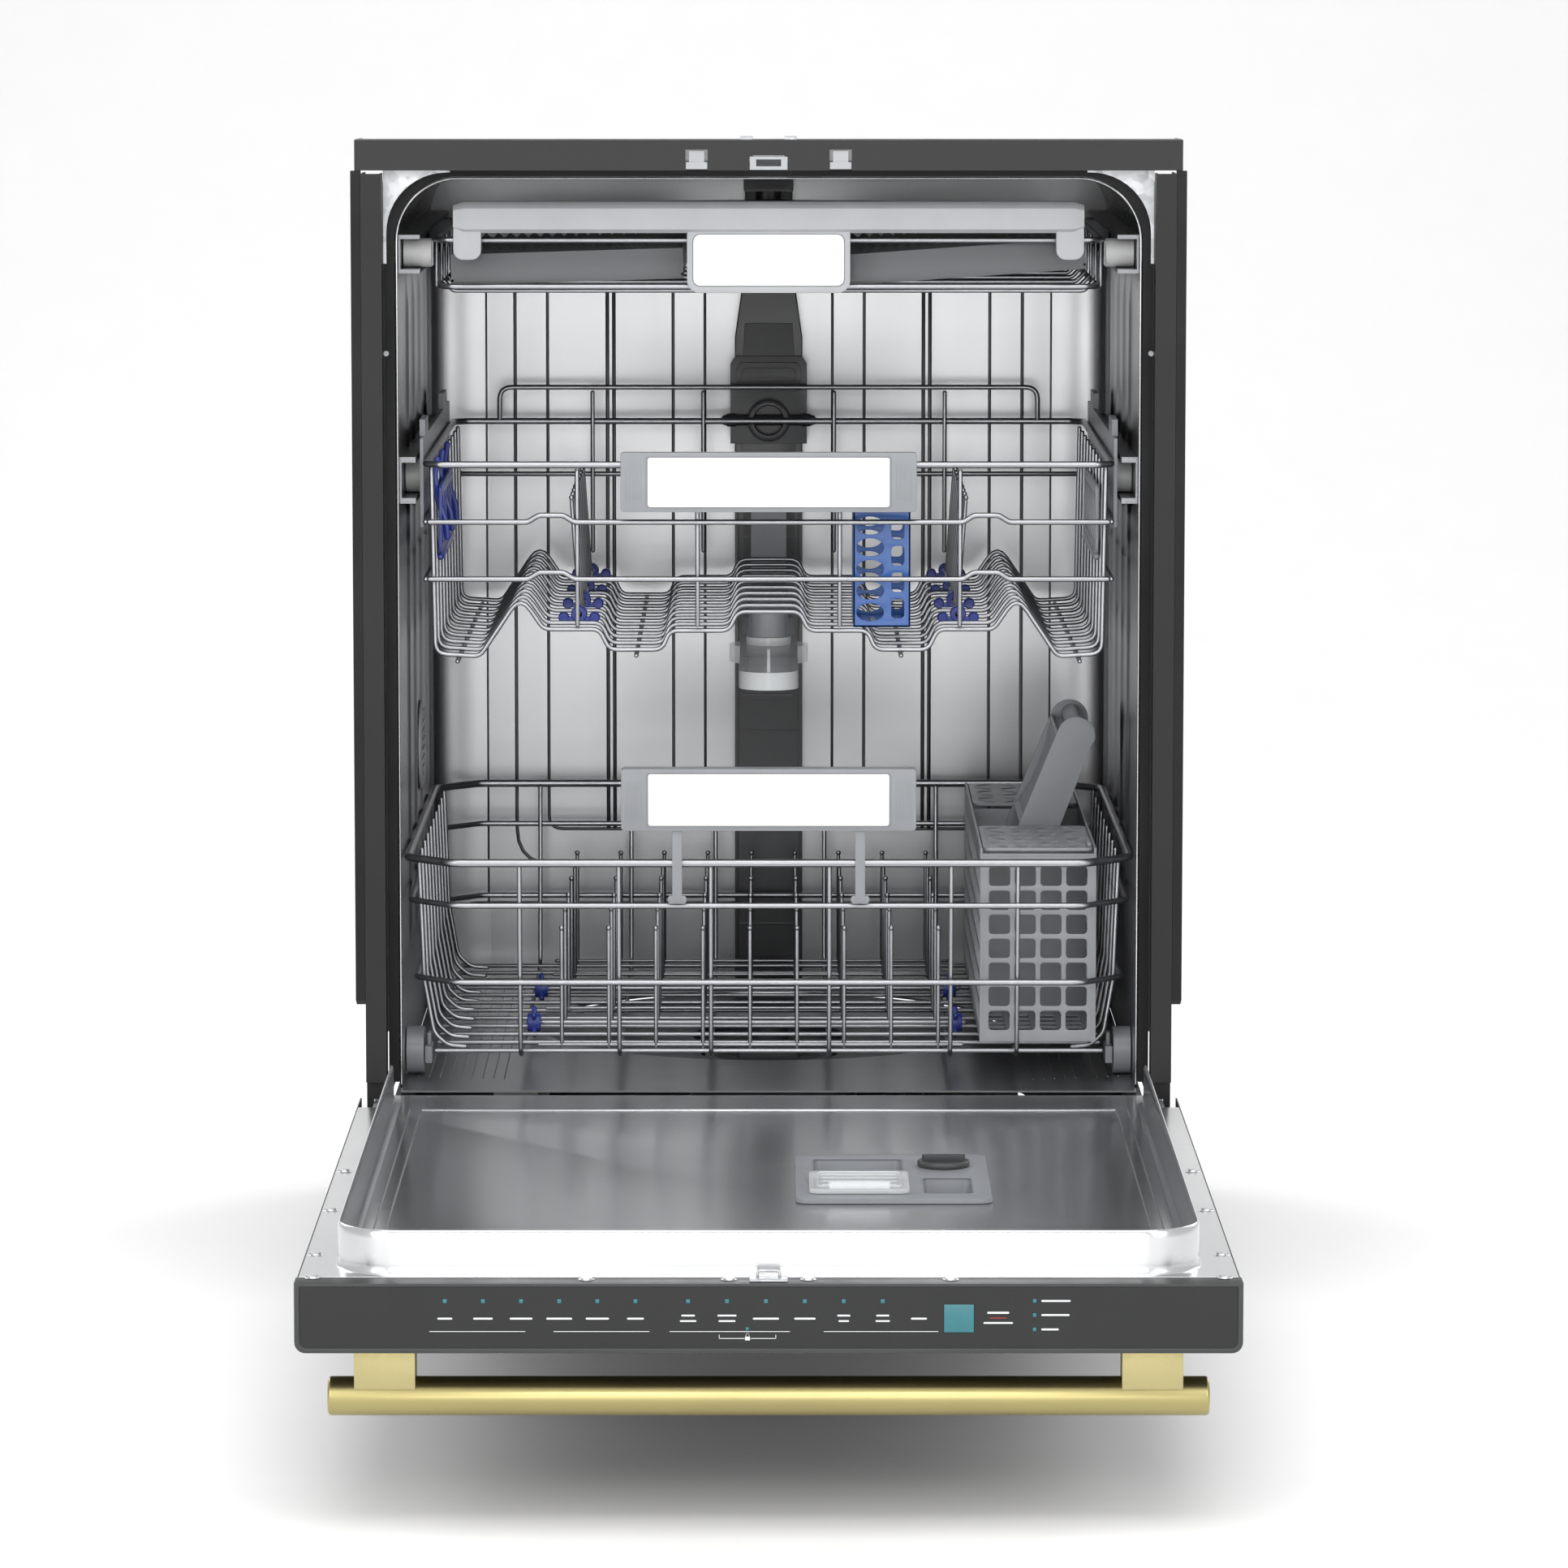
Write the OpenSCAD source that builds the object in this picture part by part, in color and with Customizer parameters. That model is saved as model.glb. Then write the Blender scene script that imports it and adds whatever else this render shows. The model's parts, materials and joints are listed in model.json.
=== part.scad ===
/* [Cabinet] */
// Height from the floor to the top of the top strip
overall_h = 860; // [856:1:870]
// Depth of the cabinet behind the front plane
body_d = 565; // [563:1:575]
// Thickness of the stainless tub sheet
tub_t = 1.5; // [1:0.1:1.8]
// Corner radius of the tub mouth
tub_r = 47; // [40:1:55]

/* [Door] */
// Width of the door
door_w = 598; // [596:1:599]
// Length of the door from the bottom edge to the control panel face
door_len = 736; // [730:1:738]
// Thickness of the door from the outer face to the liner
door_t = 45; // [44:1:45]
// Height of the raised rim round the liner
rim_h = 29; // [22:1:29]
// Diameter of the handle bar
handle_d = 25; // [20:1:28]
// Length of the handle bar
handle_len = 559; // [500:1:580]

/* [Racks] */
// Diameter of the rim wire of the racks
rim_wire = 6; // [5:0.5:6]
// Diameter of the thin wires of the racks
thin_wire = 3.4; // [3:0.1:3.6]
// Diameter of a tine
tine_d = 3; // [2.6:0.1:3]
// Number of transverse wires in the upper rack floor
upper_ribs = 10; // [8:1:11]
// Diameter of a lower rack wheel
wheel_d = 35; // [33:0.5:35]

/* [Hidden] */
$fn = 32;
yf = 86.5;             // front plane of the cabinet in the part's frame
pan_z0 = 22;           // underside of the base pan
hy = -22; hz = 144;    // door pivot, seen from the front plane
tub_hw = 270;          // half width of the tub inside
tub_top = 831;         // ceiling of the tub
tub_floor = 164.7;     // wheel ledges of the tub floor
tub_back = 545;        // inside of the tub's back wall
tub_front = 28;        // mouth of the tub
fy = 215;              // centre of the filter well
dz0 = 164 - door_t;    // outer face of the open door
dy0 = -2 - door_len;   // control panel face of the open door
rw = rim_wire; tw = thin_wire; g = 0.12;

module place() { translate([0, yf, 0]) children(); }
module sides() { children(); mirror([1, 0, 0]) children(); }
module box(a, b) { translate(a) cube(b - a); }
module rod(a, b, d = 3.4, n = 20) {
  v = b - a; L = norm(v);
  translate(a) rotate([0, acos(v[2] / L), atan2(v[1], v[0])]) cylinder(d = d, h = L, $fn = n);
}
function unit(v) = v / norm(v);
// how far a wire stops short of a bend so that it clears the next one
function mitre(u, w, d) = 0.1 + d / 2 * sqrt((1 - u * w) / (1 + u * w));
// a run of straight wires through a list of points, each one stopping just short of the bend
module run(p, d = 3.4) {
  for (i = [0 : len(p) - 2]) {
    u = unit(p[i + 1] - p[i]);
    rod(p[i] + u * (i == 0 ? 0 : mitre(unit(p[i] - p[i - 1]), u, d)), p[i + 1] - u * (i == len(p) - 2 ? 0 : mitre(u, unit(p[i + 2] - p[i + 1]), d)), d);
  }
}
module rrect(w, h, r) { // rounded rectangle centred on the origin
  square([w - 2 * r, h], center = true);
  square([w, h - 2 * r], center = true);
  for (x = [-1, 1], y = [-1, 1]) translate([x * (w / 2 - r), y * (h / 2 - r)]) circle(r, $fn = 48);
}
module arch(hw, z0, z1, r) { // flat foot, rounded top corners, in X and Z
  translate([-hw, z0]) square([2 * hw, z1 - z0 - r]);
  translate([-hw + r, z0]) square([2 * (hw - r), z1 - z0]);
  for (s = [-1, 1]) translate([s * (hw - r), z1 - r]) circle(r, $fn = 64);
}
module upright(y0, y1) { translate([0, y1, 0]) rotate([90, 0, 0]) linear_extrude(y1 - y0) children(); }
module along_x(x0, x1) { translate([x0, 0, 0]) rotate([90, 0, 90]) linear_extrude(x1 - x0) children(); }
module xcyl(x0, x1, y, z, d, n = 40) { translate([x0, y, z]) rotate([0, 90, 0]) cylinder(d = d, h = x1 - x0, $fn = n); }
module ycyl(x, y0, y1, z, d, n = 32) { translate([x, y1, z]) rotate([90, 0, 0]) cylinder(d = d, h = y1 - y0, $fn = n); }
module zcyl(x, y, z0, z1, d, n = 40) { translate([x, y, z0]) cylinder(d = d, h = z1 - z0, $fn = n); }

// ---------------------------------------------------------------- cabinet
module base_pan() color("#1b1b1c") place() difference() {
  box([-290, 60, pan_z0], [290, body_d - 5, 112]);
  box([-286, 64, pan_z0 + 4], [286, body_d - 9, 113]);
  for (x = [-262, 262], y = [88, 520]) zcyl(x, y, 20, 30, 9.2);
  ycyl(-200, body_d - 12, body_d, 70, 24);
  ycyl(200, body_d - 12, body_d, 60, 28);
  xcyl(284, 292, 112, 52, 26);
}
module levelling_feet() color("#2a2a2a") place() for (x = [-262, 262], y = [88, 520]) union() {
  zcyl(x, y, 0, 7, 38);
  zcyl(x, y, 6.9, 13, 16);
  zcyl(x, y, 12.9, 62, 9);
}
module toe_kick() color("#1c1c1d") place() difference() {
  union() {
    box([-295, 46, 14], [295, 48, 106]);
    box([-295, 46, 104], [295, 59.8, 106]);
    sides() box([270, 46, 40], [290, 59.8, 42]);
  }
  for (i = [0 : 8]) box([-100 + i * 24, 45, 58], [-88 + i * 24, 49, 64]);
  for (x = [-250, 250]) ycyl(x, 45, 49, 88, 5);
}
module post2d() {
  square([15, 2]);
  translate([13.4, 0]) square([1.6, 42]);
  square([1.6, 22]);
}
module frame_posts() color("#232323") place() sides() difference() {
  union() {
    translate([279.8, 0, 172]) linear_extrude(overall_h - 24.4 - 172) post2d();
    translate([279.8, 10, 112.3]) linear_extrude(60) { square([15, 2]); translate([13.4, 0]) square([1.6, 34]); }
    box([293.2, 10, 24], [294.8, 44, 113]);
    box([293.2, 42, 112.3], [294.8, 548, 132]);
    box([293.2, 530, 24], [294.8, 548, 820]);
    box([293.2, 42, 800], [294.8, 548, 820]);
  }
  for (z = [300, 760]) xcyl(290, 297, 14, z, 5);
  box([285.8, 9, 130], [289.6, 12.5, 158]);
}
module side_seals() color("#17171a") place() sides() difference() {
  along_x(295, 302) polygon([[0, 233], [13, 228], [13, 837.6], [0, 837.6]]);
  for (z = [300, 760]) xcyl(294, 303, 14, z, 9);
}
module top_strip() color("#3a3b3c") place() difference() {
  box([-299, 0, 838], [299, 30, overall_h]);
  box([-296, 2, 837], [296, 31, overall_h - 2]);
  sides() box([44, -1, 837], [60, 3, 853]);
  box([-14, -1, 837], [14, 3, 849]);
}
module strip_fittings() color("#c9cbcc") place() {
  sides() union() {
    box([44.3, 0.4, 839], [59.7, 2.6, 844]);
    box([46.5, 1, 843.9], [57.5, 2.2, 852]);
    box([44.3, 2.7, 839], [59.7, 12, 841]);
    box([44.3, 2.5, 839], [59.7, 2.8, 844]);
  }
  difference() {
    box([-13.6, 0.4, 838.5], [13.6, 26, 848]);
    box([-9, -1, 841], [9, 18, 846]);
  }
  sides() ycyl(277.6, 15, 19.4, 705, 3.8);
}
module mounting_brackets() color("#b9bcbe") place() {
  // corner plates behind the top corners of the frame
  sides() difference() {
    box([231, 20.4, 770], [279.5, 22, 837.6]);
    upright(19, 24) arch(277.3, 700, 836, 44);
  }
  // brackets that fix the top of the cabinet under a worktop
  for (x = [-1, 1]) difference() {
    union() {
      box([x * 16 - 4.5, 4, overall_h + 0.1], [x * 16 + 4.5, 32.2, overall_h + 2]);
      box([x * 16 - 4.5, 30.3, 845], [x * 16 + 4.5, 32.2, overall_h + 1]);
    }
    zcyl(x * 16, 12, overall_h - 5, overall_h + 5, 4.4);
  }
  sides() difference() {
    union() {
      box([296.2, 31, 840], [298.2, 60, overall_h]);
      box([272, 31, 840], [297, 60, 842]);
    }
    xcyl(290, 300, 48, 852, 5);
  }
  // plates on the posts that carry the door pivots
  sides() union() {
    along_x(286.2, 289.2) polygon([[hy - 11, hz - 9], [hy + 4, hz - 13], [9.7, hz - 13], [9.7, hz + 13], [hy + 4, hz + 13], [hy - 11, hz + 9]]);
    box([281, 12.1, 132], [289.2, 40, 160]);
    box([286.2, 9.6, 131], [289.2, 12.2, 157]);
    xcyl(289.1, 296, hy, hz, 8);
  }
}
// one thirty-degree stretch of the tub's rounded top corner
module tub_corner(a) upright(tub_front, tub_back + tub_t) translate([tub_hw + tub_t - tub_r, tub_top + tub_t - tub_r]) intersection() {
  difference() { circle(tub_r, $fn = 96); circle(tub_r - tub_t, $fn = 96); }
  polygon([[0, 0], 80 * [cos(a + 0.1), sin(a + 0.1)], 80 * [cos(a + 29.9), sin(a + 29.9)]]);
}
// the tub: sheets of stainless joined edge to edge
module tub_shell() color("#c4c6c8") place() {
  side_top = tub_top + tub_t - tub_r; f0 = tub_floor - tub_t;
  difference() {
    union() { sides() box([tub_hw, tub_front, f0], [tub_hw + tub_t, tub_back + tub_t, side_top]); }
    xcyl(-275, -265, 316, 385, 62);
  }
  box([-tub_hw - tub_t + tub_r + 0.1, tub_front, tub_top], [tub_hw + tub_t - tub_r - 0.1, tub_back + tub_t, tub_top + tub_t]);
  sides() for (a = [0, 30, 60]) tub_corner(a);
  upright(tub_back, tub_back + tub_t) arch(tub_hw - 0.1, tub_floor + 0.1, tub_top - 0.1, tub_r - tub_t);
  // pressed ribs of the back wall
  sides() for (x = [49.8, 75.2, 175.6]) box([x, tub_back - 1.9, 291], [x + 2.6, tub_back - 0.1, 738]);
  sides() box([122.6, tub_back - 2.1, 291], [130.4, tub_back - 0.1, 738]);
  // pressed ribs of the side walls
  sides() for (y = [150, 240, 420]) box([tub_hw - 2.2, y, 345], [tub_hw - 0.1, y + 5, 440]);
  // floor round the sump, with the sill towards the door
  box([-tub_hw + 0.1, 8, f0], [tub_hw - 0.1, 149.9, tub_floor]);
  box([-tub_hw + 0.1, 510.1, f0], [tub_hw - 0.1, tub_back, tub_floor]);
  sides() box([180.1, 150, f0], [tub_hw - 0.1, 510, tub_floor]);
  sides() for (y = [150, 330.1]) difference() {
    box([0.1, y, f0], [180, y + 179.9, tub_floor]);
    zcyl(0, 330, 100, 200, 360, 96);
  }
}
module tub_gasket() color("#19191b") place() difference() {
  upright(27.8, 36) arch(279.4, 168, 837.8, tub_r + 5);
  upright(27, 37) arch(271.8, 160, 832.9, tub_r + 0.3);
}
module insulation_blanket() color("#55575a") place() difference() {
  upright(64, 558) arch(286, 200, 843, 50);
  upright(63, tub_back + tub_t + 1) arch(tub_hw + tub_t + 1, 190, tub_top + tub_t + 1, tub_r + 1);
  box([-288, 280, 340], [-271, 352, 430]);
  box([-30, 545, 205], [30, 560, 230]);
}
module sump_housing() color("#2d2e30") place() difference() {
  union() {
    translate([0, 330, 148]) rotate_extrude($fn = 96) polygon([[0, 0], [179, 0], [179, 14], [172, 14], [60, 8], [60, 2], [0, 2]]);
    zcyl(0, fy, 70, 149, 120, 64);
    zcyl(0, 330, 149, 166, 30);
    xcyl(0, 66, fy, 100, 26);
    xcyl(-66, 0, fy, 96, 26);
  }
  zcyl(0, fy, 76, 170, 86, 64);
  zcyl(0, fy, 149.9, 170, 104, 64);
}
module pumps() color("#6d7073") place() {
  union() { // wash pump with its motor
    xcyl(67, 104, fy, 100, 74);
    xcyl(103.8, 118, fy, 100, 52);
    xcyl(117.8, 190, fy, 100, 66);
    box([120, fy - 28, 28], [180, fy + 28, 72]);
  }
  union() { // drain pump
    xcyl(-92, -67, fy, 96, 50);
    xcyl(-108, -91.8, fy, 96, 36);
    box([-138, fy - 20, 78], [-107.8, fy + 20, 114]);
  }
}
module inlet_valve() color("#dfe2e4") place() union() {
  box([-222, body_d - 45, 54], [-178, body_d - 9.2, 86]);
  ycyl(-200, body_d - 9.4, body_d, 70, 20);
  box([-214, body_d - 62, 60], [-186, body_d - 44.8, 84]);
}
module junction_box() color("#b5b8ba") place() difference() {
  box([120, 68, 28], [210, 130, 78]);
  xcyl(190, 214, 112, 52, 22);
}
module rear_duct() color("#3b3d3f") place() union() {
  upright(522, 544.6) polygon([[-27, 172], [27, 172], [27, 688], [19.5, 741], [-19.5, 741], [-27, 688]]);
  box([-19, 300, 812], [19, 544.6, 824]);
  box([-19, 530, 740.9], [19, 544.6, 812.1]);
  for (z = [563, 623]) union() {
    ycyl(0, 512, 522.2, z, 34);
    xcyl(-34, 34, 517, z, 9, 24);
  }
  zcyl(0, 310, 806.3, 812.2, 20);
  for (i = [0 : 6]) box([-22, 520.6, 405 + i * 7], [22, 522.3, 408 + i * 7]);
}
module air_break() color("#d8dadb") place() union() {
  box([-284, 284, 345], [-272.2, 348, 425]);
  xcyl(-276, -269, 316, 385, 60);
  xcyl(-269.1, -266.6, 316, 385, 70);
}
module rack_rails() color("#9fa2a4") place() sides() {
  // channels that guide the upper rack
  difference() {
    box([258, 40, 594], [269.7, 520, 628]);
    box([257, 30, 598], [268.2, 530, 624]);
  }
  // channels that guide the cutlery rack
  difference() {
    box([254, 40, 762], [269.7, 520, 790]);
    box([253, 30, 765], [268.2, 530, 787]);
  }
}
module door_springs() color("#8d8f91") place() sides() union() {
  for (i = [0 : 15]) translate([276, 80, 36 + i * 4]) rotate_extrude($fn = 32) translate([5.4, 0]) circle(1.3, $fn = 16);
  translate([276, 80, 34]) cylinder(d = 9, h = 66, $fn = 32);
  zcyl(276, 80, 99.9, 110, 3);
}

// ---------------------------------------------------------------- floor of the tub
module filter_cup() color("#3f4245") place() difference() {
  union() {
    zcyl(0, fy, 110, 150.4, 78);
    zcyl(0, fy, 150.3, 160, 100);
    box([-24, fy - 4, 159.9], [24, fy + 4, 164.5]);
  }
  zcyl(0, fy, 106, 152, 66);
}
module arm2d(L, w, hub) {
  circle(d = hub, $fn = 48);
  translate([-L, -w / 2]) square([2 * L, w]);
  for (s = [-1, 1]) translate([s * L, 0]) circle(d = w, $fn = 32);
}
module lower_spray_arm() color("#9ea2a6") place() translate([0, 330, 0]) difference() {
  union() {
    translate([0, 0, 168]) linear_extrude(7) arm2d(165, 30, 56);
    zcyl(0, 0, 166.3, 168.2, 26);
  }
  for (s = [-1, 1], i = [1 : 7]) zcyl(s * (24 + i * 19), 0, 173, 177, 2.6, 16);
}
module ceiling_spray_arm() color("#b9bcbf") place() translate([0, 310, 0]) difference() {
  translate([0, 0, 797]) linear_extrude(9) arm2d(120, 24, 44);
  for (s = [-1, 1], i = [1 : 6]) zcyl(s * (16 + i * 16), 0, 795, 799, 2.6, 16);
}

// ---------------------------------------------------------------- door, open at a right angle
module u_rim(hw, y0, y1, r) { // outline of the raised rim, open at the hinge
  translate([-hw, y0 + r]) square([2 * hw, y1 - y0 - r]);
  translate([-hw + r, y0]) square([2 * (hw - r), y1 - y0]);
  for (s = [-1, 1]) translate([s * (hw - r), y0 + r]) circle(r, $fn = 64);
}
module door_outer_panel() color("#222325") place() difference() {
  box([-door_w / 2, dy0 + 22.2, dz0], [door_w / 2, -2, 161]);
  box([-door_w / 2 + 1.4, dy0 + 21, dz0 + 1.4], [door_w / 2 - 1.4, -4, 162]);
  sides() box([284.6, -60, 129], [298, 0, 162]);
}
module door_liner() color("#c8cacc") place() difference() {
  union() {
    box([-297.4, dy0 + 22.2, 162.6], [297.4, -8, 164]);
    difference() {
      translate([0, 0, 163.9]) linear_extrude(rim_h + 0.1) u_rim(275, -712, -50, 40);
      translate([0, 0, 160]) linear_extrude(60) u_rim(272, -709, -49, 37);
    }
  }
  sides() box([284.6, -60, 150], [298, 0, 170]);
  box([21, -455, 160], [147, -285, 166]);
}
// windows for the square display and the small lamps, grown by e
module lamp_boxes(y0, y1, e) {
  box([110.3 - e, y0, 132.6 - e], [129.3 + e, y1, 150.6 + e]);
  for (x0 = [-205.1, -52], i = [0 : 5]) {
    x = x0 + i * (x0 < -100 ? 24 : 24.5);
    box([x - e, y0, 151.3 - e], [x + 2.6 + e, y1, 153.9 + e]);
  }
  for (z = [133.4, 142.6, 151.6]) box([166.2 - e, y0, z - e], [168.6 + e, y1, z + 2.4 + e]);
}
module control_panel() color("#2e2f31") place() difference() {
  intersection() {
    box([-door_w / 2, dy0, dz0], [door_w / 2, dy0 + 22, 164]);
    union() {
      upright(dy0, dy0 + 22) translate([0, dz0 + door_t / 2]) rrect(door_w, door_t, 5);
      box([-door_w / 2, dy0, dz0 + 20], [door_w / 2, dy0 + 22, 164]);
    }
  }
  box([-292, dy0 + 3, dz0 + 2], [292, dy0 + 23, 161]);
  lamp_boxes(dy0 - 1, dy0 + 4, 0.05);
}
module panel_display() color("#2f8a8c") place() lamp_boxes(dy0 - 0.1, dy0 + 2.8, 0);
module handle_bar() color("#c5b36a") place() xcyl(-handle_len / 2, handle_len / 2, dy0 + 30, 86, handle_d, 96);
module handle_posts() color("#cdbb74") place() sides() difference() {
  box([223.5, dy0 + 18.5, 92], [262.5, dy0 + 41.5, dz0 - 0.05]);
  xcyl(220, 266, dy0 + 30, 86, handle_d + 0.06, 96);
}
module liner_screws() color("#a9abad") place() {
  sides() for (p = [[288, -718], [291, -640], [291, -480], [291, -330], [115, -724], [25, -724]])
    difference() {
      translate([p[0], p[1], 164.02]) cylinder(d = 7.4, h = 1.4, $fn = 32);
      translate([p[0] - 2.2, p[1] - 0.4, 164.8]) cube([4.4, 0.8, 1]);
      translate([p[0] - 0.4, p[1] - 2.2, 164.8]) cube([0.8, 4.4, 1]);
    }
}
module door_striker() color("#b4b6b8") place() union() {
  box([-12, dy0 + 4, 164.05], [12, dy0 + 20, 165.4]);
  sides() box([6, 122 - 845.5, 165.3], [8, 122 - 841.5, 170]);
  box([-8, 122 - 845.5, 168], [8, 122 - 841.5, 170]);
}
module hinge_arms() color("#9b9da0") place() sides() difference() {
  union() {
    along_x(290.2, 294.2) polygon([[-170, 128], [-170, 148], [hy, hz + 11], [hy + 9, hz + 5], [hy + 9, hz - 9], [hy, hz - 14]]);
    xcyl(289.8, 294.6, hy, hz, 18);
  }
  xcyl(288, 296, hy, hz, 8.1);
  for (y = [-150, -110]) xcyl(288, 296, y, 138, 4.4);
}
module dispenser_body() color("#8e9194") place() difference() {
  union() {
    box([21.4, -454.6, 140], [146.6, -285.4, 164.2]);
    box([18, -458, 164.1], [150, -282, 168]);
  }
  box([30, -440, 146], [92, -375, 169]);
  box([30, -365, 146], [92, -300, 169]);
  zcyl(120, -330, 150, 170, 30);
  box([104, -440, 146], [138, -375, 169]);
}
module dispenser_lid() color("#c9d0d4") place() union() {
  box([27, -443, 168.3], [95, -368, 171.5]);
  box([40, -440, 171.4], [82, -434, 176]);
}
module rinse_cap() color("#4a4d50") place() union() {
  zcyl(120, -330, 152, 168.2, 29.7);
  zcyl(120, -330, 168.1, 172, 36);
  box([105, -332.5, 171.9], [135, -327.5, 176]);
}

// ---------------------------------------------------------------- lower rack
LY0 = 20; LY1 = 515;   // front and rear of the lower rack when it is in
function ring(hw, y0, y1, z, c) = [[-hw + c, y0, z], [hw - c, y0, z], [hw, y0 + c, z], [hw, y1 - c, z], [hw - c, y1, z], [-hw + c, y1, z], [-hw, y1 - c, z], [-hw, y0 + c, z]];
module closed(p, d, gap = 0.1) {
  n = len(p);
  for (i = [0 : n - 1]) {
    a = p[i]; b = p[(i + 1) % n]; u = (b - a) / norm(b - a); e = gap + d * 0.3;
    rod(a + u * e, b - u * e, d);
  }
}
module lower_wires() color("#b4b7ba") place() {
  closed(ring(266, LY0, LY1, 331.5, 34), rw);
  closed(ring(264, LY0 + 4, LY1 - 4, 299.5, 33), tw + 1);
  closed(ring(260, LY0 + 8, LY1 - 8, 242, 30), tw + 1);
  // uprights of the long sides
  sides() for (i = [0 : 9]) {
    y = LY0 + 48 + i * 45;
    run([[256.2, y, 329], [255, y, 238], [248, y, 198.5]], tw);
  }
  // uprights of the front and the rear
  for (x = [-183, -110, -42.5, 44.6, 134, 183]) {
    run([[x, LY0 + 5.4, 328.4], [x, LY0 + 14.4, 236], [x, LY0 + 22, 187]], tw);
    run([[x, LY1 - 5.4, 328.4], [x, LY1 - 14.4, 236], [x, LY1 - 22, 187]], tw);
    rod([x, LY0 + 22.4, 184.4], [x, LY1 - 22.4, 184.4], tw);
  }
  // floor wires across
  for (i = [0 : 11]) {
    y = LY0 + 30 + i * (LY1 - LY0 - 60) / 11;
    rod([-246, y, 184.4 + tw + g], [246, y, 184.4 + tw + g], tw);
  }
  // side skirts that carry the wheels
  sides() for (y = [LY0 + 70, LY1 - 90]) union() {
    box([250, y - 14, 174], [255.8, y + 14, 187]);
    box([251, y - 6, 186.9], [254, y + 6, 196]);
    xcyl(255.7, 264.5, y, wz, 6);
  }
  // fixed tines
  for (j = [0 : 3], i = [0 : 9]) {
    y = [LY0 + 38, LY0 + 218, LY0 + 395, LY1 - 25][j];
    x = -153 + i * 34.8;
    if (x < 148) rod([x, y, 189.8], [x, y, 280], tine_d);
  }
}
module lower_handle() color("#a9acaf") place() difference() {
  union() {
    box([-108, LY0 - 8, 356], [108, LY0 + 8, 402]);
    sides() box([60, LY0 - 6.2, 302], [74, LY0 - 3.4, 358]);
    sides() box([60, LY0 - 6.2, 302], [74, LY0 - 0.4, 308]);
  }
  box([-88, LY0 - 9, 360], [88, LY0 - 6.6, 398]);
  box([-100, LY0 - 4, 355], [100, LY0 + 4, 398]);
}
module wheel_pair(y, z, d, x0, x1, pin) sides() difference() {
  union() {
    difference() {
      xcyl(x0, x1, y, z, d, 64);
      xcyl(x1 - 2, x1 + 1, y, z, d * 0.72, 48);
    }
    xcyl(x1 - 2.1, x1, y, z, d * 0.3, 32);
  }
  xcyl(x0 - 1, x1 - 3.6, y, z, pin + 0.1, 32);
}
wz = 165 + wheel_d / 2;
module lower_wheels_front() color("#9a9da1") place() wheel_pair(LY0 + 70, wz, wheel_d, 256.2, 269, 6);
module lower_wheels_rear() color("#9a9da1") place() wheel_pair(LY1 - 90, wz, wheel_d, 256.2, 269, 6);
module tine_row(y) union() {
  xcyl(-172, 148, y, 194, 4, 24);
  for (i = [0 : 8]) zcyl(-170 + 17 + i * 34.8, y, 195, 282, tine_d, 20);
}
module lower_tines_front() color("#b4b7ba") place() tine_row(LY0 + 128);
module lower_tines_rear() color("#b4b7ba") place() tine_row(LY0 + 302);
BX0 = 156; BX1 = 242; BY0 = 56; BY1 = 466; BZ0 = 193.5; BZ1 = 338;
module silverware_basket() color("#9da1a6") place() difference() {
  union() {
    translate([BX0, BY0, BZ0]) cube([BX1 - BX0, BY1 - BY0, 2]);
    for (y = [BY0, BY0 + 136, BY1 - 138, BY1 - 2]) translate([BX0, y, BZ0]) cube([BX1 - BX0, 2, BZ1 - BZ0 - 4]);
    for (x = [BX0, BX1 - 2]) translate([x, BY0, BZ0]) cube([2, BY1 - BY0, BZ1 - BZ0]);
    ycyl(HX, BY0 + 137, HY0 + 4.9, HZ, 4, 24);
    ycyl(HX, HY1 - 4.9, BY1 - 137, HZ, 4, 24);
  }
  for (r = [0 : 5], c = [0 : 2], y = [BY0 - 1, BY1 - 3]) translate([BX0 + 9 + c * 24, y, BZ0 + 12 + r * 21]) cube([20, 4, 15]);
}
HY0 = BY0 + 140; HY1 = BY1 - 142; HX = 199; HZ = 322;
module basket_handle() color("#a6aaae") place() translate([HX, 0, HZ]) rotate([0, 22, 0]) {
  for (y = [HY0, HY1 - 5]) translate([0, y + 5, 0]) rotate([90, 0, 0]) linear_extrude(5) difference() {
    union() { circle(d = 30, $fn = 40); translate([-15, 0]) square([30, 90]); translate([0, 90]) circle(d = 30, $fn = 40); }
    circle(d = 4.1, $fn = 24);
  }
  translate([0, HY0 + 4.9, 0]) {
    translate([-15, 0, 84]) cube([30, HY1 - HY0 - 9.8, 3]);
    translate([-15, 0, 14]) cube([2.4, HY1 - HY0 - 9.8, 71]);
    translate([0, 0, 94]) rotate([-90, 0, 0]) cylinder(d = 17, h = HY1 - HY0 - 9.8, $fn = 40);
  }
}
module lid_panel(y0, y1) difference() {
  translate([BX0 + 2.5, y0, BZ1 - 2.6]) cube([BX1 - BX0 - 5, y1 - y0, 2.4]);
  for (i = [0 : 5], j = [0 : 3]) translate([BX0 + 13 + j * 18 + (i % 2) * 4, y0 + 12 + i * 20, BZ1 - 4]) scale([1, 1, 1]) cylinder(d = 11, h = 6, $fn = 24);
}
module basket_lids() color("#b0b4b8") place() {
  lid_panel(BY0 + 2.4, BY0 + 135);
  lid_panel(BY1 - 135, BY1 - 2.4);
  for (y = [BY0 + 10, BY1 - 40]) ycyl(BX1 - 5, y, y + 30, BZ1 + 1.2, 4, 20);
}

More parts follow.
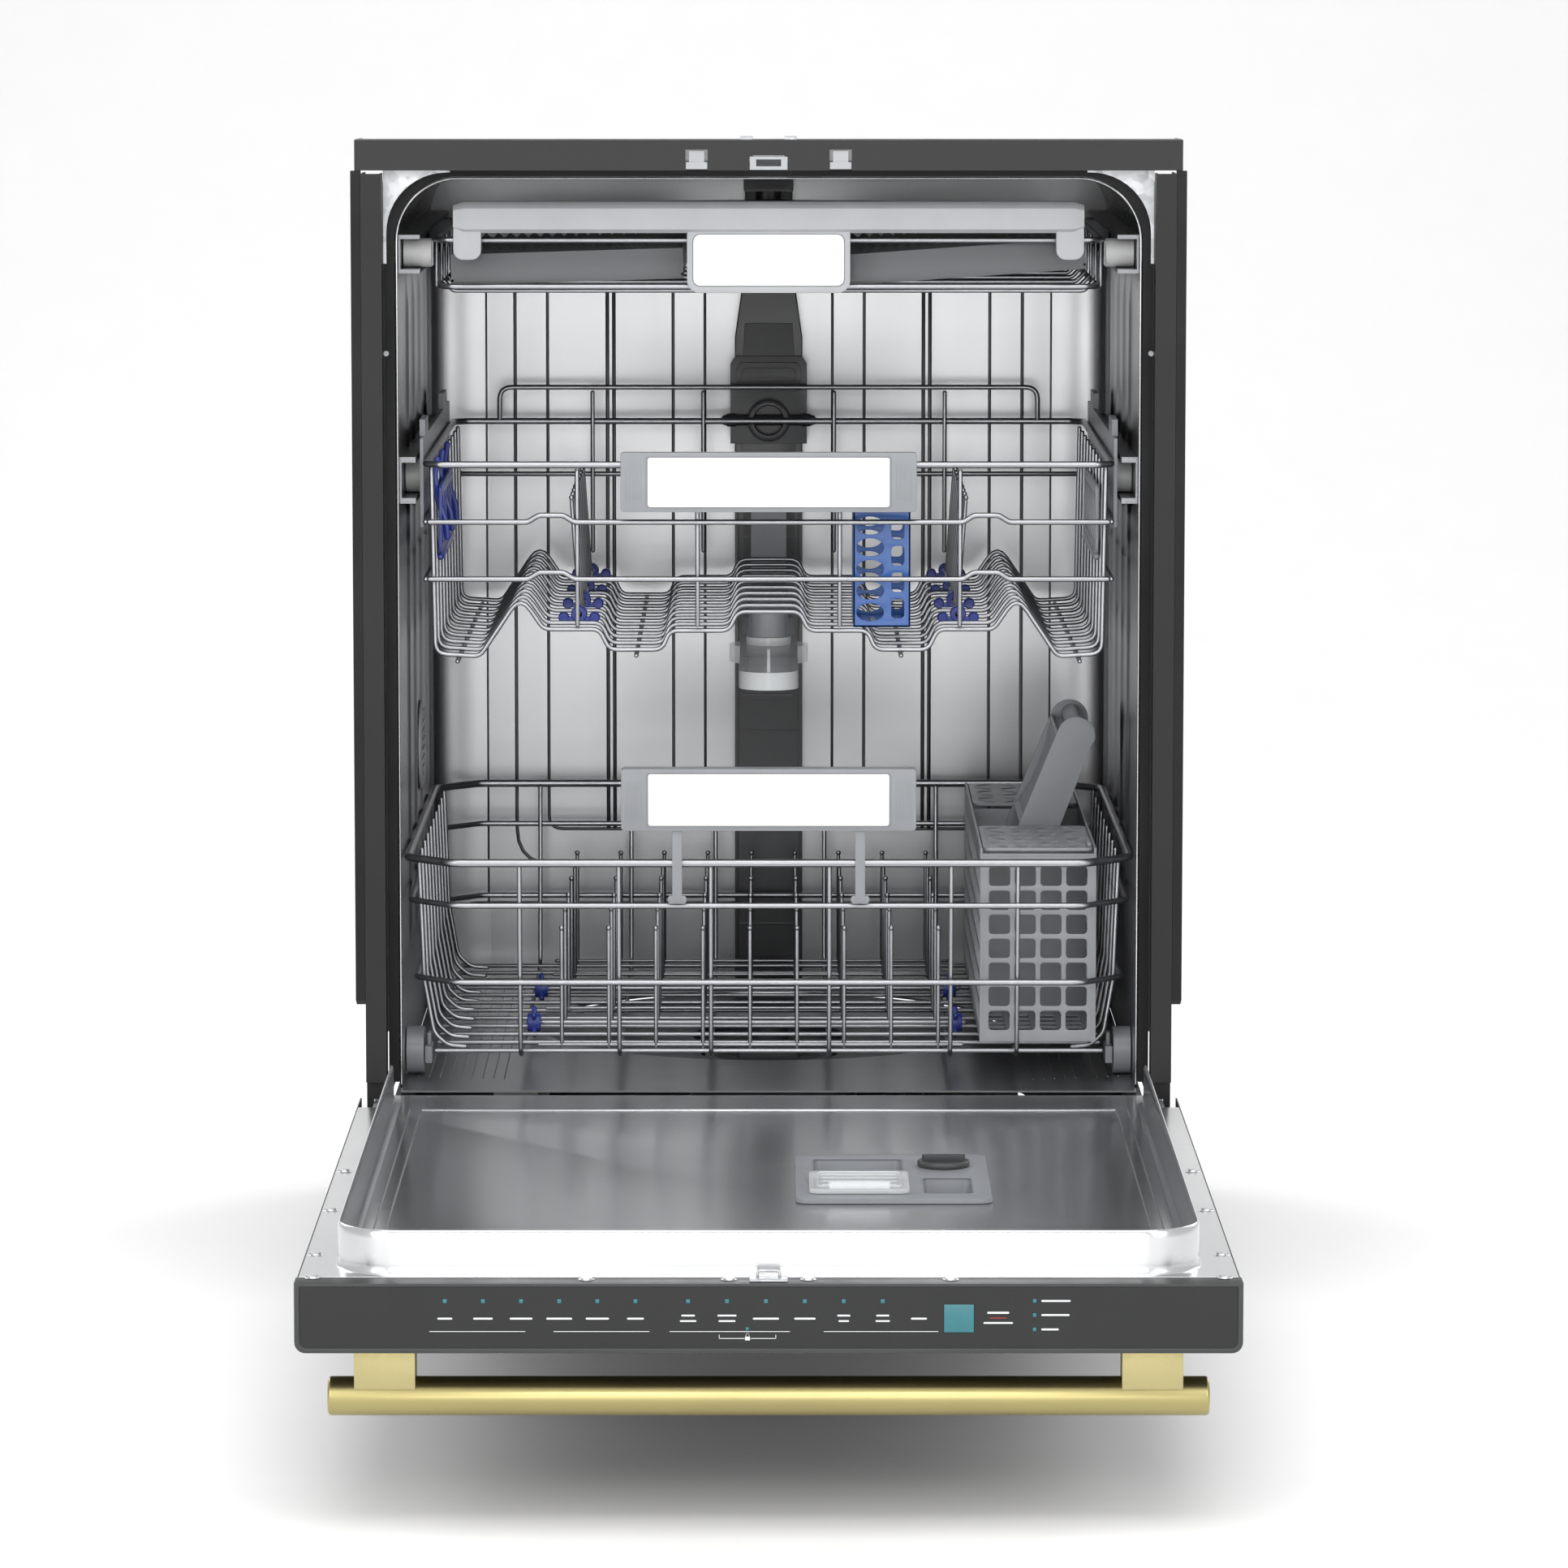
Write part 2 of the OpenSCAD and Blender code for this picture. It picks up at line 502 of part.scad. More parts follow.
// ---------------------------------------------------------------- upper rack
UY0 = 32; UY1 = 505;
UP = [[-246.8, 618.5], [-244.5, 483], [-212, 481], [-182, 526], [-165, 501], [-124, 501], [-117, 486], [-78, 486], [-73, 500], [-29, 500], [-23, 514], [23, 514], [29, 500], [73, 500], [78, 486], [117, 486], [124, 501], [165, 501], [182, 526], [212, 481], [244.5, 483], [246.8, 618.5]];
module upper_wires() color("#b4b7ba") place() {
  closed(ring(250.6, UY0, UY1, 623, 10), tw + 1.6);
  rod([-248, UY0 + 0.4, 581], [248, UY0 + 0.4, 581], tw + 0.6);
  rod([-248, UY0 + 2.5, 539], [248, UY0 + 2.5, 539], tw + 0.6);
  rod([-248, UY1 - 0.4, 581], [248, UY1 - 0.4, 581], tw + 0.6);
  rod([-214, UY1, 650], [214, UY1, 650], tw + 0.6);
  sides() for (z = [581, 539]) rod([250.7, UY0 + 5, z], [250.7, UY1 - 4, z], tw + 0.6);
  for (x = [-140, -52, 52, 140]) rod([x, UY1 - 4.3, 520], [x, UY1 - 4.3, 646], tw);
  for (x = [-140, -52, 52, 140]) rod([x, UY0 + 6.6, 505], [x, UY0 + 6.6, 618], tw);
  for (i = [0 : upper_ribs - 1]) {
    y = UY0 + 16 + i * (UY1 - UY0 - 32) / (upper_ribs - 1);
    run([for (p = UP) [p[0], y, p[1]]], tw);
  }
  sides() rod([97, UY0 + 8, 482.4], [97, UY1 - 8, 482.4], tw);
  sides() rod([228, UY0 + 8, 478.2], [228, UY1 - 8, 478.2], tw);
}
module upper_handle() color("#a9acaf") place() difference() {
  box([-108.5, UY0 - 12, 589], [108.5, UY0 - 3.2, 633]);
  box([-88, UY0 - 13, 593], [88, UY0 - 10.6, 629]);
  box([-100, UY0 - 8.6, 592], [100, UY0 - 3, 634]);
}
module upper_carriers() color("#8f9296") place() sides() union() {
  box([253.4, UY0 + 30, 575], [255.8, UY1 - 12, 640]);
  box([253.4, UY0 + 60, 639.9], [257.5, UY0 + 110, 652]);
  box([253.4, UY1 - 110, 639.9], [257.5, UY1 - 60, 652]);
  for (y = [UY0 + 60, UY1 - 40]) xcyl(255.7, 263.4, y, 611, 5);
}
module upper_wheels_front() color("#c3c6c9") place() wheel_pair(UY0 + 60, 611, 25, 256.2, 267.4, 5);
module upper_wheels_rear() color("#c3c6c9") place() wheel_pair(UY1 - 40, 611, 25, 256.2, 267.4, 5);
module tine_fan() union() {
  ycyl(0, UY0 + 96, UY1 - 20, 0, 4, 24);
  for (i = [0 : 9]) rod([0, UY0 + 108 + i * 36, 1], [6, UY0 + 108 + i * 36, 86], tine_d);
}
module upper_tines_left() color("#b4b7ba") place() translate([-141, 0, 505.2]) mirror([1, 0, 0]) tine_fan();
module upper_tines_right() color("#b4b7ba") place() translate([141, 0, 505.2]) tine_fan();
module shelf(y0, y1) union() {
  box([239.8, y0, 554], [242.2, y1, 606]);
  ycyl(241, y0 + 4, y1 - 4, 553, 5, 24);
}
module cup_shelf_left() color("#3346a8") place() mirror([1, 0, 0]) shelf(60, 250);
module cup_shelf_right() color("#9fa3a8") place() shelf(60, 250);
module utensil_holder() color("#3355b8") place() difference() {
  box([62, 50, 502.2], [104, 128, 590]);
  box([64, 52, 504.2], [102, 126, 592]);
}
module upper_spray_arm() color("#cfd6da") place() translate([0, 272, 0]) difference() {
  union() {
    translate([0, 0, 455]) linear_extrude(13) rotate(90) arm2d(196, 44, 60);
    translate([0, 0, 467.9]) cylinder(d = 34, h = 6, $fn = 40);
  }
  for (s = [-1, 1], i = [1 : 7]) translate([0, s * (20 + i * 22), 464]) cylinder(d = 2.8, h = 6, $fn = 16);
}

module upper_feed_tube() color("#a5a8ab") place() union() {
  zcyl(0, 272, 474.4, 496, 30);
  box([-14, 272, 489], [14, UY1 - 6, 496]);
  box([-14, UY1 - 13.3, 489], [14, UY1 - 6, 577]);
  ycyl(0, UY1 - 7, UY1 + 6, 563, 26);
}

// ---------------------------------------------------------------- cutlery rack
CY0 = 34; CY1 = 500;
module cutlery_frame() color("#b4b7ba") place() {
  closed(ring(243, CY0 + 14, CY1, 786, 8), tw + 0.8);
  closed(ring(240, CY0 + 16, CY1 - 2, 752, 8), tw + 0.8);
  sides() for (i = [0 : 5]) rod([244.4 - 0.8, CY0 + 40 + i * 80, 755], [244.4 - 0.8, CY0 + 40 + i * 80, 783], tw - 0.6);
  for (i = [0 : 5]) rod([-236, CY0 + 60 + i * 70, 747], [236, CY0 + 60 + i * 70, 747], tw);
  sides() union() {
    box([245.6, CY0 + 26, 768], [246.2, CY0 + 46, 784]);
    xcyl(246.1, 262, CY0 + 36, 776, 5);
  }
  sides() box([245.8, CY1 - 60, 766], [267, CY1 - 20, 786]);
}
module cutlery_front_bar() color("#b2b5b8") place() union() {
  box([-229.5, CY0 - 6, 791.5], [229.5, CY0 + 11, 815]);
  sides() box([209, CY0 - 4, 772], [229.5, CY0 + 8, 791.6]);
  difference() {
    upright(CY0 - 4, CY0 + 4) translate([0, 773]) rrect(119, 50, 8);
    upright(CY0 - 5, CY0 - 1) translate([0, 774]) rrect(108, 37, 6);
    box([-60, CY0 - 10, 792], [60, CY0 + 20, 800]);
  }
}
module tray(x0, x1, z0, z1, y0, y1) union() {
  upright(y0, y1) polygon([[x0, z0], [x1, z1], [x1, z1 + 1.8], [x0, z0 + 1.8]]);
  upright(y0, y0 + 2) polygon([[x0, z0], [x1, z1], [x1, z1 + 18], [x0, z0 + 18]]);
  upright(y1 - 2, y1) polygon([[x0, z0], [x1, z1], [x1, z1 + 18], [x0, z0 + 18]]);
}
module cutlery_tray_left() color("#8c8f92") place() tray(-232, -62, 755, 760, CY0 + 24, CY1 - 12);
module cutlery_tray_right() color("#9a9da0") place() tray(58, 232, 755, 767, CY0 + 24, CY1 - 12);
module cutlery_rollers() color("#c3c6c9") place() sides() difference() {
  xcyl(246.6, 267, CY0 + 36, 776, 21, 48);
  xcyl(246, 262.6, CY0 + 36, 776, 5.1, 32);
}

base_pan();
levelling_feet();
toe_kick();
frame_posts();
side_seals();
top_strip();
strip_fittings();
mounting_brackets();
tub_shell();
tub_gasket();
insulation_blanket();
sump_housing();
pumps();
inlet_valve();
junction_box();
rear_duct();
air_break();
rack_rails();
door_springs();
filter_cup();
lower_spray_arm();
ceiling_spray_arm();
door_outer_panel();
door_liner();
control_panel();
panel_display();
handle_bar();
handle_posts();
liner_screws();
door_striker();
hinge_arms();
dispenser_body();
dispenser_lid();
rinse_cap();
lower_wires();
lower_handle();
lower_wheels_front();
lower_wheels_rear();
lower_tines_front();
lower_tines_rear();
silverware_basket();
basket_handle();
basket_lids();
upper_wires();
upper_handle();
upper_carriers();
upper_wheels_front();
upper_wheels_rear();
upper_tines_left();
upper_tines_right();
cup_shelf_left();
cup_shelf_right();
utensil_holder();
upper_spray_arm();
upper_feed_tube();
cutlery_frame();
cutlery_front_bar();
cutlery_tray_left();
cutlery_tray_right();
cutlery_rollers();
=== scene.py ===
import bpy, bmesh, math, json
from mathutils import Vector, Matrix


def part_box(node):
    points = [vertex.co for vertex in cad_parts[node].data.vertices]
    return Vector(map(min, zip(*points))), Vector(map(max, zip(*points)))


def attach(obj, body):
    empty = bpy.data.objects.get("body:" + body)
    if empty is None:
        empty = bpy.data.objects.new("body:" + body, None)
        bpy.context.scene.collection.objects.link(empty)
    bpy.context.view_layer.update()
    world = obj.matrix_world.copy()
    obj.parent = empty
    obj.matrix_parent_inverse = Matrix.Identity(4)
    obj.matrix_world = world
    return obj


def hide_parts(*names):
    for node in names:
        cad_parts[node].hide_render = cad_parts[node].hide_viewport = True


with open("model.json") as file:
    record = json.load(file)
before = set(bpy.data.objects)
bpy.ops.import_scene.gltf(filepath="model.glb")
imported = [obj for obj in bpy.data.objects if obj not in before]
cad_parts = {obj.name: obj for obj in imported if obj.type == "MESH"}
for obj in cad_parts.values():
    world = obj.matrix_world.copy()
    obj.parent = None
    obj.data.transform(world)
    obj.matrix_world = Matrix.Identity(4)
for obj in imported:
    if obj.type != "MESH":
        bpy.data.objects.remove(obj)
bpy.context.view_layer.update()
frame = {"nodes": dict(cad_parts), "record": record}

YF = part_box("top_strip")[0][1] * 1000.0        # front plane of the cabinet, mm
Z0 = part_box("levelling_feet")[0][2] * 1000.0   # floor, mm
XC = (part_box("top_strip")[0][0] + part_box("top_strip")[1][0]) * 500.0

def W(p):
    """mm measured from the cabinet's front plane -> metres in the frame"""
    return Vector(((p[0] + XC) / 1000.0, (p[1] + YF) / 1000.0, (p[2] + Z0) / 1000.0))

# ------------------------------------------------------------------ camera and light
cam_d = bpy.data.cameras.new("camera")
cam = bpy.data.objects.new("camera", cam_d)
bpy.context.scene.collection.objects.link(cam)
cam_d.sensor_width = 36.0
cam_d.lens = 162.1
cam_d.shift_x = 0.0098
cam_d.shift_y = 0.0
cam.location = W((0, -5110, 1002))
cam.rotation_euler = (math.radians(90 - 6.804), 0, 0)
cam_d.clip_end = 50
bpy.context.scene.camera = cam

def area(name, loc, target, size, power, size_y=None, col=(1, 1, 1)):
    d = bpy.data.lights.new(name, "AREA")
    d.energy = power; d.size = size; d.color = col
    if size_y:
        d.shape = "RECTANGLE"; d.size_y = size_y
    o = bpy.data.objects.new(name, d)
    bpy.context.scene.collection.objects.link(o)
    o.location = loc
    o.rotation_euler = (Vector(target) - Vector(loc)).to_track_quat("-Z", "Y").to_euler()
    return o

area("key_top", (0.0, -1.6, 3.2), (0, 0.1, 0.3), 3.0, 62, 2.2)
area("front_left", (-2.6, -3.6, 1.5), (0, 0.1, 0.45), 1.5, 46, 2.6)
area("front_right", (2.6, -3.4, 1.6), (0, 0.1, 0.45), 1.5, 38, 2.6)
area("front_mid", (0.0, -4.6, 1.9), (0, 0.2, 0.5), 1.6, 30, 0.9)
area("low_front", (0.0, -3.6, 0.35), (0, 0.0, 0.4), 2.2, 14, 0.5)
area("back_left", (-2.4, 2.4, 2.2), (0, 0.2, 0.4), 1.8, 34)
area("back_right", (2.4, 2.2, 2.0), (0, 0.2, 0.4), 1.8, 30)

world = bpy.data.worlds.new("world")
world.use_nodes = True
bpy.context.scene.world = world
bg = world.node_tree.nodes["Background"]
bg.inputs[0].default_value = (0.93, 0.93, 0.93, 1)
bg.inputs[1].default_value = 0.85
try:
    bpy.context.scene.view_settings.view_transform = "Standard"
except Exception:
    pass

# ------------------------------------------------------------------ materials
class Mat:
    def __init__(self, name):
        self.m = bpy.data.materials.new(name)
        self.m.use_nodes = True
        self.t = self.m.node_tree
        self.b = self.t.nodes["Principled BSDF"]
        self.co = self.t.nodes.new("ShaderNodeTexCoord")
    def node(self, kind, **kw):
        n = self.t.nodes.new(kind)
        for k, v in kw.items():
            setattr(n, k, v)
        return n
    def link(self, a, b):
        self.t.links.new(a, b)
    def mapping(self, scale):
        mp = self.node("ShaderNodeMapping")
        mp.inputs["Scale"].default_value = scale
        self.link(self.co.outputs["Object"], mp.inputs["Vector"])
        return mp.outputs["Vector"]
    def noise(self, scale, stretch=(1, 1, 1), detail=3.0, rough=0.5):
        n = self.node("ShaderNodeTexNoise")
        n.inputs["Scale"].default_value = scale
        n.inputs["Detail"].default_value = detail
        n.inputs["Roughness"].default_value = rough
        self.link(self.mapping(stretch), n.inputs["Vector"])
        return n.outputs["Fac"]
    def ramp(self, fac, lo, hi, a=0.3, b=0.7):
        r = self.node("ShaderNodeMapRange")
        r.inputs["From Min"].default_value = a
        r.inputs["From Max"].default_value = b
        r.inputs["To Min"].default_value = lo
        r.inputs["To Max"].default_value = hi
        self.link(fac, r.inputs["Value"])
        return r.outputs["Result"]
    def colour(self, fac, c1, c2, a=0.3, b=0.7):
        r = self.node("ShaderNodeValToRGB")
        r.color_ramp.elements[0].position = a
        r.color_ramp.elements[1].position = b
        r.color_ramp.elements[0].color = (*c1, 1)
        r.color_ramp.elements[1].color = (*c2, 1)
        self.link(fac, r.inputs["Fac"])
        self.link(r.outputs["Color"], self.b.inputs["Base Color"])
    def bump(self, fac, strength, dist=0.001):
        b = self.node("ShaderNodeBump")
        b.inputs["Strength"].default_value = strength
        b.inputs["Distance"].default_value = dist
        self.link(fac, b.inputs["Height"])
        self.link(b.outputs["Normal"], self.b.inputs["Normal"])
    def rough(self, fac, lo, hi):
        self.link(self.ramp(fac, lo, hi), self.b.inputs["Roughness"])
    def set(self, **kw):
        for k, v in kw.items():
            self.b.inputs[k.replace("_", " ")].default_value = v
        return self

def steel(name, c=(0.60, 0.605, 0.615), stretch=(1, 1, 0.03), r0=0.225, r1=0.275, scale=420, strength=0.012, var=0.03):
    m = Mat(name); m.set(Metallic=1.0)
    f = m.noise(scale, stretch, 4.0, 0.6)
    g = m.noise(9, (1, 1, 0.5), 3.0, 0.5)
    m.colour(g, [x * (1 - var) for x in c], [min(1, x * (1 + var)) for x in c], 0.35, 0.65)
    m.rough(f, r0, r1)
    m.bump(f, strength, 0.0002)
    return m.m

def paint(name, c, rough=0.38, coat=0.0, grain=900, strength=0.05, var=0.12):
    m = Mat(name)
    f = m.noise(grain, (1, 1, 1), 2.0, 0.5)
    g = m.noise(14, (1, 1, 1), 4.0, 0.6)
    m.colour(g, [x * (1 - var) for x in c], [x * (1 + var) for x in c], 0.3, 0.7)
    m.rough(g, rough * 0.86, min(1.0, rough * 1.14))
    m.bump(f, strength, 0.0003)
    m.set(Coat_Weight=coat, Coat_Roughness=0.12, Specular_IOR_Level=0.3)
    return m.m

def plastic(name, c, rough=0.42, grain=1400, strength=0.08, sss=0.0, coat=0.0, var=0.06):
    m = Mat(name)
    v = m.node("ShaderNodeTexVoronoi")
    v.inputs["Scale"].default_value = grain
    m.link(m.mapping((1, 1, 1)), v.inputs["Vector"])
    g = m.noise(22, (1, 1, 1), 4.0, 0.6)
    m.colour(g, [x * (1 - var) for x in c], [min(1, x * (1 + var)) for x in c], 0.3, 0.7)
    m.rough(g, rough * 0.88, min(1.0, rough * 1.12))
    m.bump(v.outputs["Distance"], strength, 0.0002)
    m.set(Coat_Weight=coat, Coat_Roughness=0.15, Specular_IOR_Level=0.4)
    return m.m

MATS = {}
MATS["stainless"] = steel("stainless")
MATS["stainless_h"] = steel("stainless_h", (0.60, 0.605, 0.615), (0.03, 1, 1), 0.20, 0.26)
MATS["rack_wire"] = steel("rack_wire", (0.33, 0.335, 0.35), (1, 1, 1), 0.28, 0.40, 260, 0.03)
MATS["black_paint"] = paint("black_paint", (0.0085, 0.0085, 0.009), 0.46)
MATS["strip_dark"] = paint("strip_dark", (0.016, 0.016, 0.017), 0.44)
MATS["seal_rubber"] = paint("seal_rubber", (0.003, 0.003, 0.0035), 0.6, grain=500, strength=0.12)
MATS["panel_dark"] = paint("panel_dark", (0.0135, 0.0138, 0.0145), 0.42, coat=0.0, grain=1500, strength=0.03)
MATS["panel_edge"] = paint("panel_edge", (0.034, 0.035, 0.036), 0.36, coat=0.1, grain=1500, strength=0.03)
MATS["mark_red"] = paint("mark_red", (0.42, 0.03, 0.03), 0.4)
MATS["brass_post"] = steel("brass_post", (0.40, 0.35, 0.175), (1, 0.02, 1), 0.38, 0.48, 420, 0.03)
MATS["black_plastic"] = plastic("black_plastic", (0.018, 0.018, 0.019), 0.5)
MATS["duct_plastic"] = plastic("duct_plastic", (0.036, 0.037, 0.040), 0.34, coat=0.2)
MATS["tray_grey"] = plastic("tray_grey", (0.085, 0.088, 0.094), 0.40, coat=0.1)
MATS["sump_plastic"] = plastic("sump_plastic", (0.040, 0.042, 0.045), 0.40)
MATS["light_plastic"] = plastic("light_plastic", (0.31, 0.318, 0.33), 0.40, coat=0.1)
MATS["mid_plastic"] = plastic("mid_plastic", (0.19, 0.20, 0.215), 0.40, coat=0.1)
MATS["basket_grey"] = plastic("basket_grey", (0.215, 0.222, 0.236), 0.40, coat=0.1)
MATS["handle_grey"] = plastic("handle_grey", (0.215, 0.225, 0.238), 0.42, coat=0.05)
MATS["white_plastic"] = plastic("white_plastic", (0.50, 0.50, 0.50), 0.38)
MATS["blank_white"] = plastic("blank_white", (0.86, 0.86, 0.86), 0.45, strength=0.03, var=0.01)
MATS["blue_plastic"] = plastic("blue_plastic", (0.020, 0.035, 0.21), 0.38, coat=0.15)
MATS["blue_light"] = plastic("blue_light", (0.016, 0.075, 0.27), 0.32, coat=0.25)
MATS["pump_metal"] = steel("pump_metal", (0.42, 0.43, 0.45), (1, 1, 1), 0.4, 0.6, 120, 0.2)
MATS["spring_steel"] = steel("spring_steel", (0.35, 0.35, 0.37), (1, 1, 1), 0.3, 0.45, 200, 0.05)
MATS["screw_steel"] = steel("screw_steel", (0.62, 0.63, 0.64), (1, 1, 1), 0.15, 0.28, 300, 0.05)
MATS["brass_satin"] = steel("brass_satin", (0.40, 0.345, 0.155), (0.02, 1, 1), 0.28, 0.36, 520, 0.03)

def galvanised():
    m = Mat("galvanised"); m.set(Metallic=1.0)
    v = m.node("ShaderNodeTexVoronoi")
    v.inputs["Scale"].default_value = 160
    m.link(m.mapping((1, 1, 1)), v.inputs["Vector"])
    r = m.node("ShaderNodeSeparateColor")
    m.link(v.outputs["Color"], r.inputs["Color"])
    m.colour(r.outputs["Red"], (0.40, 0.41, 0.42), (0.52, 0.53, 0.54), 0.1, 0.9)
    m.link(m.ramp(r.outputs["Green"], 0.36, 0.55, 0, 1), m.b.inputs["Roughness"])
    return m.m
MATS["galvanised"] = galvanised()
MATS["rail_steel"] = steel("rail_steel", (0.20, 0.205, 0.215), (1, 0.03, 1), 0.30, 0.40)
def tub_steel(name, low, high, r0, r1, stretch):
    """brushed sheet with painted shade that reads darker towards the floor of the tub"""
    m = Mat(name); m.set(Metallic=1.0)
    sp = m.node("ShaderNodeSeparateXYZ")
    m.link(m.co.outputs["Object"], sp.inputs["Vector"])
    g = m.ramp(sp.outputs["Z"], 0.0, 1.0, 0.22, 0.78)
    n = m.noise(7, (1, 1, 0.4), 3.0, 0.5)
    mix = m.node("ShaderNodeMath", operation="MULTIPLY_ADD")
    m.link(n, mix.inputs[0]); mix.inputs[1].default_value = 0.12
    m.link(g, mix.inputs[2])
    m.colour(mix.outputs[0], low, high, 0.05, 1.05)
    f = m.noise(60, stretch, 2.0, 0.5)
    m.rough(f, r0, r1)
    return m.m
# back wall, side walls and floor are lit and shaded copies of one steel, each with painted shade blended by height
MATS["tub_back"] = tub_steel("tub_back", (0.31, 0.312, 0.318), (0.47, 0.473, 0.48), 0.30, 0.31, (1, 1, 0.03))
MATS["tub_side"] = tub_steel("tub_side", (0.36, 0.362, 0.368), (0.34, 0.342, 0.348), 0.30, 0.31, (1, 1, 0.03))
# near-black steel for the back wall's pressed lines: painted shade in the creases
MATS["rib_painted_shade"] = steel("rib_painted_shade", (0.085, 0.086, 0.09), (1, 1, 0.03), 0.28, 0.36)
# darker steel for the tub ceiling: painted shade under the top of the tub
MATS["stainless_painted_shade"] = steel("stainless_painted_shade", (0.17, 0.172, 0.178), (1, 0.03, 1), 0.26, 0.32)

def felt():
    m = Mat("blanket")
    f = m.noise(700, (1, 1, 1), 6.0, 0.7)
    g = m.noise(40, (1, 1, 1), 4.0, 0.6)
    m.colour(g, (0.035, 0.035, 0.037), (0.075, 0.075, 0.078), 0.3, 0.7)
    m.bump(f, 0.6, 0.002)
    m.set(Roughness=0.95, Sheen_Weight=0.25)
    return m.m
MATS["blanket"] = felt()

def clear(name, c=(0.86, 0.89, 0.90), alpha=0.38, rough=0.12):
    m = Mat(name)
    f = m.noise(60, (1, 1, 1), 4.0, 0.6)
    m.colour(f, [x * 0.95 for x in c], c, 0.3, 0.7)
    m.rough(f, rough * 0.7, rough * 1.5)
    m.bump(f, 0.08, 0.001)
    m.set(Alpha=alpha, IOR=1.49, Coat_Weight=0.6, Coat_Roughness=0.05)
    m.m.blend_method = "BLEND" if hasattr(m.m, "blend_method") else None
    return m.m
MATS["clear_plastic"] = clear("clear_plastic")

def lit(name, c, e):
    m = Mat(name)
    f = m.noise(90, (1, 1, 1), 2.0, 0.5)
    m.colour(f, [x * 0.9 for x in c], c, 0.3, 0.7)
    m.set(Roughness=0.22, Emission_Color=(*c, 1), Emission_Strength=e)
    return m.m
MATS["display_teal"] = lit("display_teal", (0.020, 0.125, 0.145), 0.22)
MATS["lamp_teal"] = lit("lamp_teal", (0.06, 0.32, 0.34), 0.5)
# white print marks on the panel, with a faint painted glow so they read bright; they are no lamps
MATS["mark_white"] = lit("mark_white", (0.55, 0.56, 0.57), 0.1)

# every CAD node gets its slot's material
slots = {s["node"]: s["material_slot"] for s in frame["record"]["subparts"]}
for n, o in frame["nodes"].items():
    mat = MATS["rail_steel"] if n == "rack_rails" else MATS.get(slots.get(n))
    if mat is None:
        continue
    if not o.material_slots:
        o.data.materials.append(mat)
    for s in o.material_slots:
        s.material = mat

